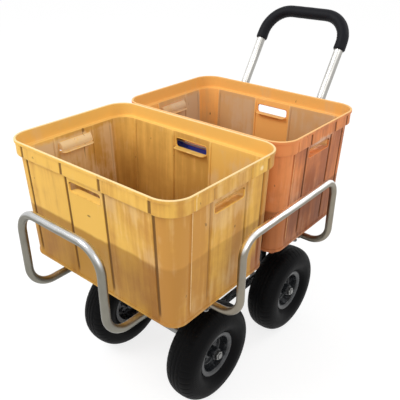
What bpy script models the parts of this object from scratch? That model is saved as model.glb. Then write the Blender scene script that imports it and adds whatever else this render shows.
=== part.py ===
"""Four-wheeled aluminium garden cart that carries two lift-out plastic crates.

Metres, +Z up. The ground is at Z = 0 and the origin lies under the middle of the cart. +Y points from the
front guard to the handle, and left and right are as seen from the front guard, so right is +X.
Places below are first worked out in the deck frame: Y from the front edge of the front crate's rim, Z from
the underside of the crate bodies. The empty cart_frame stands that frame on the ground.
"""

import math

import bmesh
import bpy
from mathutils import Matrix, Vector

# General fits and facets
FIT_GAP = 0.0003           # air between two pieces that touch
CUT_OVERRUN = 0.004        # how far a cutter runs past the piece it cuts
WELD_SINK = 0.001          # how far a welded boss reaches into its tube's wall
TUBE_SIDES = 12
SMALL_SIDES = 6
WHEEL_SIDES = 18
BUSH_SIDES = 8
CORNER_STEPS = 4
BEND_STEP = math.radians(31)

# Crates
CRATE_LENGTH = 0.520       # across the cart, over the rim
CRATE_WIDTH = 0.365        # along the cart, over the rim
CRATE_HEIGHT = 0.305       # body without the feet
CRATE_SPACING = 0.002      # between the two rims
CRATE_WALL = 0.003
CRATE_TAPER = 0.009        # each wall leans in by this much from skirt to base
RIM_CORNER_RADIUS = 0.055
RIM_LIP_STEP = 0.0025
RIM_LIP_HEIGHT = 0.008
SKIRT_HEIGHT = 0.038
SKIRT_STEP = 0.009
BASE_FLANGE_STEP = 0.002
BASE_FLANGE_HEIGHT = 0.008
GROOVE_WIDTH = 0.007
GROOVE_SLOPE = 0.0015
GROOVE_DEPTH = 0.003
GROOVE_RUNOUT = 0.006      # height over which a groove fades out at its foot
GROOVE_CORNER_LAND = 0.0015
HAND_HOLE_LENGTH = 0.100
HAND_HOLE_HEIGHT = 0.024
HAND_HOLE_DROP = 0.014     # below the skirt
HAND_HOLE_RADIUS = 0.007
HAND_HOLE_LAND = 0.010     # from the hole's end to the next groove's middle
FOOT_HEIGHT = 0.008
FOOT_INSET = 0.012
FOOT_WIDTH = 0.004
FOOT_CORNER_RADIUS = 0.008
FOOT_RIB_WIDTH = 0.003
FOOT_POCKETS_ACROSS = 3
FOOT_POCKETS_ALONG = 2

# Tubes of the deck frame
TUBE_DIAMETER = 0.025
TUBE_WALL = 0.0015
RAIL_HALF_SPACING = 0.131
RAIL_FRONT_SETBACK = 0.060
RAIL_END_SETBACK = 0.1125   # from the rail's rear end to the handle's upright
SOCKET_FRONT_INSET = 0.187  # cross tubes, from the ends of the load
SOCKET_REAR_INSET = 0.141
CROSS_TUBE_INSET = 0.060    # from the crate's rim
UNDER_RAIL_HALF_SPACING = 0.085
UNDER_RAIL_OVERHANG = 0.037
SADDLE_WEB = 0.003         # metal between two crossing tubes
SADDLE_WIDTH = 0.034
SADDLE_GRIP = 0.006        # how far a saddle reaches up and down round its tubes
PLUG_FLANGE = 0.0025
PLUG_DEPTH = 0.012

# Front guard and side guards
GUARD_CLEARANCE = 0.0015   # guard leg in its tube, all round
GUARD_WALL = 0.0015
FRONT_GUARD_GAP = 0.0555    # from the front crate's rim
FRONT_GUARD_RISE = 0.212
FRONT_GUARD_TOP_BEND = 0.057
FRONT_GUARD_FOOT_BEND = 0.058
FRONT_LEG_INSERT = 0.150
SIDE_GUARD_GAP = 0.012      # from the crates' rims
SIDE_GUARD_RISE = 0.201
SIDE_GUARD_TOP_BEND = 0.046
SIDE_GUARD_FOOT_BEND = 0.053
SIDE_LEG_INSERT = 0.110
CLAMP_SETBACK = 0.016      # clamp bolt from the mouth of its tube
CLAMP_NUT_HEIGHT = 0.006
CLAMP_NUT_FLATS = 0.013
CLAMP_BOLT_DIAMETER = 0.006
CLAMP_BOLT_STAND = 0.005   # free thread between nut and head
CLAMP_HEAD_HEIGHT = 0.005
CLAMP_HEAD_FLATS = 0.013

# Handle
HANDLE_CRATE_GAP = 0.008   # from the rear crate's rim to the upright
HANDLE_FOOT_BEND = 0.050
HANDLE_KINK_HEIGHT = 0.2825
HANDLE_KINK_BEND = 0.100
HANDLE_LEAN_DEG = 32.2
HANDLE_TOP_HEIGHT = 0.498
HANDLE_TOP_BEND = 0.075
HANDLE_BRACE_DIAMETER = 0.022
HANDLE_BRACE_WALL = 0.0015
GRIP_DIAMETER = 0.034
GRIP_DROP = 0.082           # from the bow's top down to the grip's ends
SPIGOT_LENGTH = 0.090
SPIGOT_WALL = 0.002
JOINT_BOLT_DIAMETER = 0.005
JOINT_BOLT_SETBACK = 0.0225
JOINT_BOLT_HEAD_FLATS = 0.010
JOINT_BOLT_HEAD_HEIGHT = 0.0035

# Undercarriage
AXLES_SHIFT = 0.0405        # from the middle of the load to the middle between the axles
TYRE_SPACING = 0.085        # between the front and the rear tyre
TRACK = 0.314
WHEEL_TOP_GAP = 0.0267      # from the under rails down to the tops of the wheels
AXLE_DIAMETER = 0.018
SPINDLE_DIAMETER = 0.015   # turned-down end that carries the wheel
SPINDLE_END_STAND = 0.003
POST_BELOW_AXLE = 0.003
STAY_HEIGHT = 0.032
STAY_THICKNESS = 0.005
AXLE_NUT_FLATS = 0.022
AXLE_NUT_HEIGHT = 0.009

# Wheels
WHEEL_DIAMETER = 0.264
TYRE_WIDTH = 0.090
TYRE_TREAD_WIDTH = 0.031
TYRE_CROWN_DROP = 0.006
TYRE_SHOULDER_WIDTH = 0.062
TYRE_FULL_WIDTH = 0.087
TYRE_FULL_DROP = 0.024
TYRE_WIDEST_RADIUS = 0.088
TYRE_TREAD_THICKNESS = 0.010
TYRE_SIDEWALL_THICKNESS = 0.007
TYRE_BEAD_WIDTH = 0.010
RIM_WIDTH = 0.062
RIM_FLANGE_RADIUS = 0.062
RIM_SEAT_RADIUS = 0.0515
RIM_WELL_DEPTH = 0.005
RIM_THICKNESS = 0.0025
RIM_WEB_THICKNESS = 0.006
HUB_LENGTH = 0.054
HUB_WALL = 0.003
BUSH_DIAMETER = 0.024
BUSH_FLANGE_DIAMETER = 0.030
BUSH_FLANGE_THICKNESS = 0.0025
VALVE_DIAMETER = 0.008
VALVE_LENGTH = 0.018

# Places that follow from the sizes
TUBE_RADIUS = TUBE_DIAMETER / 2
TUBE_BORE = TUBE_RADIUS - TUBE_WALL
GUARD_RADIUS = TUBE_BORE - GUARD_CLEARANCE
RAIL_Z = -FOOT_HEIGHT - FIT_GAP - TUBE_RADIUS
CROSS_Z = RAIL_Z - TUBE_DIAMETER - SADDLE_WEB
UNDER_Z = CROSS_Z - TUBE_DIAMETER - SADDLE_WEB
SIDES = {"left": -1, "right": 1}
DECK_LENGTH = 2 * CRATE_WIDTH + CRATE_SPACING
CROSS_TUBE_PLACES = {"front": SOCKET_FRONT_INSET, "rear": DECK_LENGTH - SOCKET_REAR_INSET}
SOCKET_SPACING = CROSS_TUBE_PLACES["rear"] - SOCKET_FRONT_INSET
CROSS_TUBE_LENGTH = CRATE_LENGTH - 2 * CROSS_TUBE_INSET
WHEELBASE = WHEEL_DIAMETER + TYRE_SPACING
FRONT_AXLE_Y = DECK_LENGTH / 2 + AXLES_SHIFT - WHEELBASE / 2
AXLE_PLACES = {"front": FRONT_AXLE_Y, "rear": FRONT_AXLE_Y + WHEELBASE}
AXLE_DEPTH = TUBE_RADIUS - UNDER_Z + WHEEL_TOP_GAP + WHEEL_DIAMETER / 2
FRONT_GUARD_REACH = FRONT_GUARD_GAP + GUARD_RADIUS
SIDE_GUARD_REACH = CRATE_LENGTH / 2 + SIDE_GUARD_GAP + GUARD_RADIUS
HANDLE_Y = DECK_LENGTH + HANDLE_CRATE_GAP + TUBE_RADIUS
RAIL_END_Y = HANDLE_Y - RAIL_END_SETBACK
RAIL_LENGTH = RAIL_END_Y - RAIL_FRONT_SETBACK
HANDLE_START_Y = RAIL_END_Y + FIT_GAP
HANDLE_LEAN = math.radians(HANDLE_LEAN_DEG)
HANDLE_TOP_Y = HANDLE_Y + (HANDLE_TOP_HEIGHT - HANDLE_KINK_HEIGHT) * math.tan(HANDLE_LEAN)
GRIP_START_HEIGHT = HANDLE_TOP_HEIGHT - GRIP_DROP
CORNER_X = CRATE_LENGTH / 2 - RIM_CORNER_RADIUS
CORNER_Y = CRATE_WIDTH / 2 - RIM_CORNER_RADIUS
SKIRT_Z = CRATE_HEIGHT - SKIRT_HEIGHT
HALF_TRACK = TRACK / 2
BUSH_END = HUB_LENGTH / 2 + FIT_GAP + BUSH_FLANGE_THICKNESS
SHOULDER_X = HALF_TRACK - HUB_LENGTH / 2 - FIT_GAP
NUT_X = HALF_TRACK + BUSH_END + FIT_GAP
SPINDLE_END_X = NUT_X + AXLE_NUT_HEIGHT + SPINDLE_END_STAND
FRONT_FACE_Y = -FRONT_GUARD_REACH - GUARD_RADIUS
BACK_FACE_Y = HANDLE_TOP_Y + GRIP_DIAMETER / 2
MIDDLE_Y = (FRONT_FACE_Y + BACK_FACE_Y) / 2
GROUND_DEPTH = AXLE_DEPTH + WHEEL_DIAMETER / 2

ACROSS = Vector((1, 0, 0))
ALONG = Vector((0, 1, 0))
UP = Vector((0, 0, 1))
QUARTER = math.pi / 2


# Scene, materials and meshes


def clear_scene():
    for item in list(bpy.data.objects):
        bpy.data.objects.remove(item, do_unlink=True)


def material(name, colour, roughness, metallic):
    found = bpy.data.materials.get(name)
    if found:
        return found
    made = bpy.data.materials.new(name)
    made.use_nodes = True
    shader = made.node_tree.nodes["Principled BSDF"]
    shader.inputs["Base Color"].default_value = (*colour, 1)
    shader.inputs["Roughness"].default_value = roughness
    shader.inputs["Metallic"].default_value = metallic
    made.diffuse_color = (*colour, 1)
    return made


def bright_tube():
    return material("drawn_aluminium", (0.78, 0.78, 0.76), 0.30, 1.0)


def dark_steel():
    return material("dark_painted_steel", (0.045, 0.045, 0.048), 0.45, 0.0)


def zinc():
    return material("zinc_plated_steel", (0.56, 0.56, 0.55), 0.35, 1.0)


def black_plastic():
    return material("black_plastic", (0.02, 0.02, 0.022), 0.55, 0.0)


def yellow_plastic():
    return material("yellow_crate_plastic", (0.86, 0.50, 0.12), 0.55, 0.0)


def orange_plastic():
    return material("orange_crate_plastic", (0.66, 0.25, 0.09), 0.55, 0.0)


def tyre_rubber():
    return material("tyre_rubber", (0.012, 0.012, 0.013), 0.75, 0.0)


def grip_foam():
    return material("grip_foam", (0.014, 0.015, 0.022), 0.85, 0.0)


def add_empty(name, parent, place, turn=(0, 0, 0)):
    made = bpy.data.objects.new(name, None)
    bpy.context.collection.objects.link(made)
    made.parent = parent
    made.location = place
    made.rotation_euler = turn
    return made


def add_piece(name, mesh, look, parent, place, turn=(0, 0, 0)):
    """Puts a mesh into the scene as one named piece."""
    made = bpy.data.objects.new(name, mesh)
    bpy.context.collection.objects.link(made)
    made.parent = parent
    made.location = place
    made.rotation_euler = turn
    mesh.materials.append(look)
    mesh.shade_smooth()
    mesh.set_sharp_from_angle(angle=math.radians(35))
    return made


def closed_mesh(points, faces, name):
    """Closed mesh from points and faces, with its faces turned outwards and flat neighbours joined."""
    mesh = bpy.data.meshes.new(name)
    mesh.from_pydata([tuple(point) for point in points], [], faces)
    work = bmesh.new()
    work.from_mesh(mesh)
    bmesh.ops.recalc_face_normals(work, faces=work.faces)
    bmesh.ops.dissolve_limit(work, angle_limit=math.radians(0.05), verts=work.verts, edges=work.edges)
    work.to_mesh(mesh)
    work.free()
    return mesh


def skin_mesh(rings, name, closed=False):
    """Skin over rings of equally many points; capped at both ends, or led back to the first ring."""
    sides = len(rings[0])
    points = [point for ring in rings for point in ring]
    faces = []
    for index in range(len(rings) if closed else len(rings) - 1):
        here = index * sides
        there = (index + 1) % len(rings) * sides
        for step in range(sides):
            after = (step + 1) % sides
            faces.append([here + step, here + after, there + after, there + step])
    if not closed:
        faces.append(list(range(sides)))
        faces.append(list(range(len(points) - sides, len(points))))
    return closed_mesh(points, faces, name)


def plate_mesh(outlines, bottom, top, name):
    """Flat plate: the first outline is its edge and the others are holes through it."""
    work = bmesh.new()
    for outline in outlines:
        corners = [work.verts.new((x, y, bottom)) for x, y in outline]
        for step, corner in enumerate(corners):
            work.edges.new((corner, corners[(step + 1) % len(corners)]))
    bmesh.ops.triangle_fill(work, edges=work.edges, use_beauty=True)
    grown = bmesh.ops.extrude_face_region(work, geom=list(work.faces), use_keep_orig=True)
    lifted = [item for item in grown["geom"] if isinstance(item, bmesh.types.BMVert)]
    bmesh.ops.translate(work, verts=lifted, vec=(0, 0, top - bottom))
    bmesh.ops.recalc_face_normals(work, faces=work.faces)
    mesh = bpy.data.meshes.new(name)
    work.to_mesh(mesh)
    work.free()
    return mesh


def bored(radius, sides):
    """Corner radius of a faceted bore whose flats clear a round of this radius."""
    return radius / math.cos(math.pi / sides)


def hex_radius(flats):
    return flats / math.sqrt(3)


def round_outline(radius, sides):
    angles = [2 * math.pi * step / sides for step in range(sides)]
    return [(radius * math.cos(angle), radius * math.sin(angle)) for angle in angles]


def rounded_rectangle(half_x, half_y, radius, steps=CORNER_STEPS):
    """Outline of a rectangle with round corners, anticlockwise."""
    outline = []
    for quarter, (sign_x, sign_y) in enumerate(((1, -1), (1, 1), (-1, 1), (-1, -1))):
        for step in range(steps + 1):
            angle = QUARTER * (quarter - 1 + step / steps)
            outline.append((sign_x * (half_x - radius) + radius * math.cos(angle),
                            sign_y * (half_y - radius) + radius * math.sin(angle)))
    return [point for step, point in enumerate(outline) if math.dist(point, outline[step - 1]) > FIT_GAP]


def level_ring(outline, height):
    return [(x, y, height) for x, y in outline]


def stepped_bar(levels, sides, name):
    """Solid bar along Z from (height, corner radius) levels."""
    return skin_mesh([level_ring(round_outline(radius, sides), height) for height, radius in levels], name)


def turned_mesh(section, sides, name):
    """Closed section of (place along X, corner radius) points turned about X, with a flat facing down."""
    rings = []
    for along, radius in section:
        angles = [2 * math.pi * (step + 0.5) / sides for step in range(sides)]
        rings.append([(along, radius * math.sin(angle), -radius * math.cos(angle)) for angle in angles])
    return skin_mesh(rings, name, closed=True)


def bent_path(corners, bends):
    """Centre line through the corners, each inner corner rounded with its own bend radius."""
    corners = [Vector(corner) for corner in corners]
    path = [corners[0]]
    for index, bend in enumerate(bends):
        before, corner, after = corners[index:index + 3]
        back = (before - corner).normalized()
        ahead = (after - corner).normalized()
        half = back.angle(ahead) / 2
        centre = corner + (back + ahead).normalized() * bend / math.sin(half)
        start = corner + back * bend / math.tan(half) - centre
        end = corner + ahead * bend / math.tan(half) - centre
        turn = start.angle(end)
        steps = math.ceil(turn / BEND_STEP)
        for step in range(steps + 1):
            path.append(centre + Matrix.Rotation(turn * step / steps, 3, start.cross(end)) @ start)
    path.append(corners[-1])
    return path


def ways_at(path, index):
    """Directions of the stretches before and after one point of a path."""
    before = max(index - 1, 0)
    after = min(index + 1, len(path) - 1)
    ahead = path[after] - path[index] if after > index else path[index] - path[before]
    back = path[index] - path[before] if before < index else ahead
    return back.normalized(), ahead.normalized()


def swept_ring(place, ways, side, radius, sides):
    """Mitred ring round one point of a path; side is square to the path there."""
    back, ahead = ways
    other = (ahead + back).normalized().cross(side)
    bend_way = (ahead - back).normalized()
    stretch = 1 / math.cos(ahead.angle(back) / 2) - 1
    ring = []
    for x, y in round_outline(radius, sides):
        arm = side * x + other * y
        ring.append(place + arm + bend_way * arm.dot(bend_way) * stretch)
    return ring


def tube_mesh(path, side, outer_radius, inner_radius, name, inner_sides=TUBE_SIDES):
    """Round tube along a path, open at both ends; side is square to its first stretch."""
    outer = []
    inner = []
    for index, place in enumerate(path):
        ways = ways_at(path, index)
        mean = (ways[0] + ways[1]).normalized()
        side = (side - mean * side.dot(mean)).normalized()
        outer += swept_ring(place, ways, side, outer_radius, TUBE_SIDES)
        inner += swept_ring(place, ways, side, inner_radius, inner_sides)
    faces = []
    for start, sides in ((0, TUBE_SIDES), (len(outer), inner_sides)):
        for index in range(len(path) - 1):
            here = start + index * sides
            for step in range(sides):
                after = (step + 1) % sides
                faces.append([here + step, here + after, here + sides + after, here + sides + step])
    share = TUBE_SIDES // inner_sides
    for index in (0, len(path) - 1):
        first = index * TUBE_SIDES
        hollow = len(outer) + index * inner_sides
        for step in range(inner_sides):
            edge = [first + (share * step + part) % TUBE_SIDES for part in range(share + 1)]
            faces.append(edge + [hollow + (step + 1) % inner_sides, hollow + step])
    return closed_mesh(outer + inner, faces, name)


def straight_tube(length, direction, side, outer_radius, inner_radius, name):
    return tube_mesh([Vector(), direction * length], side, outer_radius, inner_radius, name)


def round_cutter(diameter, length, sides=SMALL_SIDES):
    """Round bar along Z round its own origin, wide enough for its facets to clear the diameter."""
    radius = bored(diameter / 2 + FIT_GAP, sides)
    return stepped_bar([(-length / 2, radius), (length / 2, radius)], sides, "round_cutter")


def boolean(piece, operation, mesh, place=(0, 0, 0), turn=(0, 0, 0)):
    """Adds a Boolean step with a hidden helper that stands in the piece's own frame."""
    helper = bpy.data.objects.new(operation.lower() + "_" + piece.name, mesh)
    bpy.context.collection.objects.link(helper)
    helper.parent = piece
    helper.location = place
    helper.rotation_euler = turn
    helper.hide_render = True
    helper.display_type = "WIRE"
    step = piece.modifiers.new(helper.name, "BOOLEAN")
    step.operation = operation
    step.solver = "EXACT"
    step.object = helper


def cut(piece, mesh, place=(0, 0, 0), turn=(0, 0, 0)):
    boolean(piece, "DIFFERENCE", mesh, place, turn)


def join(piece, mesh, place=(0, 0, 0), turn=(0, 0, 0)):
    boolean(piece, "UNION", mesh, place, turn)


# Crates


def wall_radius(height):
    """Corner radius of the crate's outer wall face at a height; the walls lean out with it."""
    at_skirt = RIM_CORNER_RADIUS - RIM_LIP_STEP - SKIRT_STEP
    return at_skirt - CRATE_TAPER * (1 - height / SKIRT_Z)


def groove_places(half_run):
    """Middles of the four upright grooves in one wall: one beside each corner, one beside the hand hole."""
    beside_hole = HAND_HOLE_LENGTH / 2 + HAND_HOLE_LAND
    at_corner = half_run - GROOVE_WIDTH / 2 - GROOVE_SLOPE - GROOVE_CORNER_LAND
    return [-at_corner, -beside_hole, beside_hole, at_corner]


def wall_ring(corner_radius, depth, height):
    """Level section through the crate's skin: a rounded rectangle whose grooves have one depth."""
    ring = []
    half_runs = (CORNER_X, CORNER_Y, CORNER_X, CORNER_Y)
    half_outs = (CORNER_Y, CORNER_X, CORNER_Y, CORNER_X)
    groove = ((-GROOVE_WIDTH / 2 - GROOVE_SLOPE, 0), (-GROOVE_WIDTH / 2, depth),
              (GROOVE_WIDTH / 2, depth), (GROOVE_WIDTH / 2 + GROOVE_SLOPE, 0))
    for quarter, (half_run, half_out) in enumerate(zip(half_runs, half_outs)):
        turn = Matrix.Rotation(QUARTER * quarter, 3, "Z")
        for middle in groove_places(half_run):
            for offset, inward in groove:
                ring.append(turn @ Vector((middle + offset, inward - half_out - corner_radius, height)))
        for step in range(CORNER_STEPS + 1):
            angle = QUARTER * step / CORNER_STEPS
            ring.append(turn @ Vector((half_run + corner_radius * math.sin(angle),
                                       -half_out - corner_radius * math.cos(angle), height)))
    return ring


def crate_shell_mesh(name):
    """Walls, skirt, rim and floor as one skin, up the outside and down the inside."""
    flange = wall_radius(0) + BASE_FLANGE_STEP
    skirt = wall_radius(SKIRT_Z) + SKIRT_STEP
    rim = skirt + RIM_LIP_STEP
    groove_foot = BASE_FLANGE_HEIGHT + GROOVE_RUNOUT
    ledge = SKIRT_Z + CRATE_WALL
    lip = CRATE_HEIGHT - RIM_LIP_HEIGHT
    levels = [
        (flange, 0, 0),
        (flange, 0, BASE_FLANGE_HEIGHT),
        (wall_radius(BASE_FLANGE_HEIGHT), 0, BASE_FLANGE_HEIGHT),
        (wall_radius(groove_foot), GROOVE_DEPTH, groove_foot),
        (wall_radius(SKIRT_Z), GROOVE_DEPTH, SKIRT_Z),
        (skirt, 0, SKIRT_Z),
        (skirt, 0, lip),
        (rim, 0, lip),
        (rim, 0, CRATE_HEIGHT),
        (skirt - CRATE_WALL, 0, CRATE_HEIGHT),
        (skirt - CRATE_WALL, 0, ledge),
        (wall_radius(ledge) - CRATE_WALL, GROOVE_DEPTH, ledge),
        (wall_radius(CRATE_WALL) - CRATE_WALL, GROOVE_DEPTH, CRATE_WALL),
    ]
    return skin_mesh([wall_ring(*level) for level in levels], name)


def foot_mesh():
    """Low ring with a grid of ribs inside it, reaching up into the floor."""
    half_x = CORNER_X + wall_radius(0) - FOOT_INSET
    half_y = CORNER_Y + wall_radius(0) - FOOT_INSET
    outlines = [rounded_rectangle(half_x, half_y, FOOT_CORNER_RADIUS)]
    pitch_x = (2 * (half_x - FOOT_WIDTH) + FOOT_RIB_WIDTH) / FOOT_POCKETS_ACROSS
    pitch_y = (2 * (half_y - FOOT_WIDTH) + FOOT_RIB_WIDTH) / FOOT_POCKETS_ALONG
    for column in range(FOOT_POCKETS_ACROSS):
        for row in range(FOOT_POCKETS_ALONG):
            left = -half_x + FOOT_WIDTH + column * pitch_x
            near = -half_y + FOOT_WIDTH + row * pitch_y
            right = left + pitch_x - FOOT_RIB_WIDTH
            far = near + pitch_y - FOOT_RIB_WIDTH
            outlines.append([(left, near), (right, near), (right, far), (left, far)])
    return plate_mesh(outlines, -FOOT_HEIGHT, CRATE_WALL / 2, "crate_foot")


def cut_hand_holes(crate):
    """One slot through each of the four walls, just under the skirt."""
    outline = rounded_rectangle(HAND_HOLE_LENGTH / 2, HAND_HOLE_HEIGHT / 2, HAND_HOLE_RADIUS, 2)
    height = SKIRT_Z - HAND_HOLE_DROP - HAND_HOLE_HEIGHT / 2
    for reach, turn in ((CRATE_WIDTH / 2 + CUT_OVERRUN, 0), (CRATE_LENGTH / 2 + CUT_OVERRUN, QUARTER)):
        slot = skin_mesh([level_ring(outline, -reach), level_ring(outline, reach)], "hand_holes")
        cut(crate, slot, (0, 0, height), (QUARTER, 0, turn))


def make_crates(frame):
    for number, (name, look) in enumerate((("crate_front", yellow_plastic()), ("crate_rear", orange_plastic()))):
        middle_y = CRATE_WIDTH / 2 + number * (CRATE_WIDTH + CRATE_SPACING)
        crate = add_piece(name, crate_shell_mesh(name), look, frame, (0, middle_y, 0))
        join(crate, foot_mesh())
        cut_hand_holes(crate)


# Deck frame


def weld_clamp_nut(tube, place):
    """Hexagon nut welded under a tube, with its hole led into the bore."""
    radius = hex_radius(CLAMP_NUT_FLATS)
    top = WELD_SINK - TUBE_RADIUS
    nut = stepped_bar([(-TUBE_RADIUS - CLAMP_NUT_HEIGHT, radius), (top, radius)], SMALL_SIDES, "clamp_nut")
    join(tube, nut, place)
    depth = TUBE_WALL + CLAMP_NUT_HEIGHT + 2 * CUT_OVERRUN
    middle = -TUBE_RADIUS - (CLAMP_NUT_HEIGHT - TUBE_WALL) / 2
    cut(tube, round_cutter(CLAMP_BOLT_DIAMETER, depth), place + UP * middle)


def make_clamp_bolt(name, frame, place):
    """Hexagon bolt that presses on the guard leg from below."""
    radius = CLAMP_BOLT_DIAMETER / 2
    head_top = -TUBE_RADIUS - CLAMP_NUT_HEIGHT - CLAMP_BOLT_STAND
    head = hex_radius(CLAMP_HEAD_FLATS)
    levels = [(head_top - CLAMP_HEAD_HEIGHT, head), (head_top, head), (head_top, radius),
              (-GUARD_RADIUS - FIT_GAP, radius)]
    add_piece(name, stepped_bar(levels, SMALL_SIDES, name), zinc(), frame, place)


def make_rails(frame):
    for side, sign in SIDES.items():
        name = "rail_" + side
        place = Vector((sign * RAIL_HALF_SPACING, RAIL_FRONT_SETBACK, RAIL_Z))
        mesh = straight_tube(RAIL_LENGTH, ALONG, UP, TUBE_RADIUS, TUBE_BORE, name)
        rail = add_piece(name, mesh, bright_tube(), frame, place)
        weld_clamp_nut(rail, ALONG * CLAMP_SETBACK)
        make_clamp_bolt("front_clamp_bolt_" + side, frame, place + ALONG * CLAMP_SETBACK)


def make_cross_tubes(frame):
    half = CROSS_TUBE_LENGTH / 2
    for where, y in CROSS_TUBE_PLACES.items():
        name = "cross_tube_" + where
        mesh = straight_tube(CROSS_TUBE_LENGTH, ACROSS, UP, TUBE_RADIUS, TUBE_BORE, name)
        tube = add_piece(name, mesh, bright_tube(), frame, (-half, y, CROSS_Z))
        for side, sign in SIDES.items():
            x = sign * (half - CLAMP_SETBACK)
            weld_clamp_nut(tube, ACROSS * (half + x))
            make_clamp_bolt("side_clamp_bolt_" + where + "_" + side, frame, (x, y, CROSS_Z))


def make_under_rails(frame):
    start = SOCKET_FRONT_INSET - UNDER_RAIL_OVERHANG
    length = SOCKET_SPACING + 2 * UNDER_RAIL_OVERHANG
    for side, sign in SIDES.items():
        name = "under_rail_" + side
        x = sign * UNDER_RAIL_HALF_SPACING
        mesh = straight_tube(length, ALONG, UP, TUBE_RADIUS, TUBE_BORE, name)
        add_piece(name, mesh, bright_tube(), frame, (x, start, UNDER_Z))
        make_plug("under_rail_plug_front_" + side, frame, (x, start, UNDER_Z), -QUARTER)
        make_plug("under_rail_plug_rear_" + side, frame, (x, start + length, UNDER_Z), QUARTER)


def make_plug(name, frame, place, turn):
    """Push-in end plug: a flange over the tube's end and a shank in its bore."""
    shank = TUBE_BORE - FIT_GAP
    levels = [
        (-PLUG_FLANGE - FIT_GAP, TUBE_RADIUS),
        (-FIT_GAP, TUBE_RADIUS),
        (-FIT_GAP, shank),
        (PLUG_DEPTH, shank),
    ]
    add_piece(name, stepped_bar(levels, TUBE_SIDES, name), black_plastic(), frame, place, (turn, 0, 0))


def make_saddle(name, frame, place, upper_turn, lower_turn):
    """Cast block between two crossing tubes, grooved above and below at right angles."""
    half = SADDLE_WIDTH / 2
    half_height = SADDLE_WEB / 2 + SADDLE_GRIP
    outline = [(-half, -half), (half, -half), (half, half), (-half, half)]
    block = skin_mesh([level_ring(outline, -half_height), level_ring(outline, half_height)], name)
    saddle = add_piece(name, block, dark_steel(), frame, place)
    length = SADDLE_WIDTH + 2 * CUT_OVERRUN
    offset = SADDLE_WEB / 2 + TUBE_RADIUS
    for height, turn in ((offset, upper_turn), (-offset, lower_turn)):
        cut(saddle, round_cutter(TUBE_DIAMETER, length, TUBE_SIDES), (0, 0, height), turn)


def make_saddles(frame):
    along = (QUARTER, 0, 0)
    across = (0, QUARTER, 0)
    for where, y in CROSS_TUBE_PLACES.items():
        for side, sign in SIDES.items():
            upper_place = (sign * RAIL_HALF_SPACING, y, (RAIL_Z + CROSS_Z) / 2)
            lower_place = (sign * UNDER_RAIL_HALF_SPACING, y, (CROSS_Z + UNDER_Z) / 2)
            make_saddle("rail_saddle_" + where + "_" + side, frame, upper_place, along, across)
            make_saddle("under_saddle_" + where + "_" + side, frame, lower_place, across, along)


# Guards


def make_guard(name, frame, place, turn, half_span, leg_length, rise, foot_bend, top_bend):
    """Bent tube with two level legs along local +Y, two uprights and a top bar along local X."""
    half = [(-half_span, leg_length, 0), (-half_span, 0, 0), (-half_span, 0, rise)]
    corners = half + [(-x, y, z) for x, y, z in reversed(half)]
    path = bent_path(corners, [foot_bend, top_bend, top_bend, foot_bend])
    mesh = tube_mesh(path, UP, GUARD_RADIUS, GUARD_RADIUS - GUARD_WALL, name, TUBE_SIDES // 2)
    add_piece(name, mesh, bright_tube(), frame, place, turn)


def make_guards(frame):
    make_guard("front_guard", frame, (0, -FRONT_GUARD_REACH, RAIL_Z), (0, 0, 0), RAIL_HALF_SPACING,
               FRONT_GUARD_REACH + RAIL_FRONT_SETBACK + FRONT_LEG_INSERT, FRONT_GUARD_RISE,
               FRONT_GUARD_FOOT_BEND, FRONT_GUARD_TOP_BEND)
    middle_y = SOCKET_FRONT_INSET + SOCKET_SPACING / 2
    leg_length = SIDE_GUARD_REACH - CROSS_TUBE_LENGTH / 2 + SIDE_LEG_INSERT
    for side, sign in SIDES.items():
        make_guard("side_guard_" + side, frame, (sign * SIDE_GUARD_REACH, middle_y, CROSS_Z),
                   (0, 0, sign * QUARTER), SOCKET_SPACING / 2, leg_length, SIDE_GUARD_RISE,
                   SIDE_GUARD_FOOT_BEND, SIDE_GUARD_TOP_BEND)


# Handle


def handle_path():
    """Centre line of the bow: from the left rail up the left leg, over the top and down to the right rail."""
    half = [
        (-RAIL_HALF_SPACING, HANDLE_START_Y, RAIL_Z),
        (-RAIL_HALF_SPACING, HANDLE_Y, RAIL_Z),
        (-RAIL_HALF_SPACING, HANDLE_Y, HANDLE_KINK_HEIGHT),
        (-RAIL_HALF_SPACING, HANDLE_TOP_Y, HANDLE_TOP_HEIGHT),
    ]
    corners = half + [(-x, y, z) for x, y, z in reversed(half)]
    return bent_path(corners, [HANDLE_FOOT_BEND, HANDLE_KINK_BEND, HANDLE_TOP_BEND,
                               HANDLE_TOP_BEND, HANDLE_KINK_BEND, HANDLE_FOOT_BEND])


def grip_path():
    """The stretch of the bow above the grip's lower ends."""
    kept = [point for point in handle_path() if point.z > GRIP_START_HEIGHT]
    start_y = HANDLE_Y + (GRIP_START_HEIGHT - HANDLE_KINK_HEIGHT) * math.tan(HANDLE_LEAN)
    left = Vector((-RAIL_HALF_SPACING, start_y, GRIP_START_HEIGHT))
    right = Vector((RAIL_HALF_SPACING, start_y, GRIP_START_HEIGHT))
    return [left] + kept + [right]


def cut_joint_hole(piece, place):
    """Level hole across a tube for the bolt that joins handle and rail."""
    length = TUBE_DIAMETER + 2 * CUT_OVERRUN
    cut(piece, round_cutter(JOINT_BOLT_DIAMETER, length), place, (0, QUARTER, 0))


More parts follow.
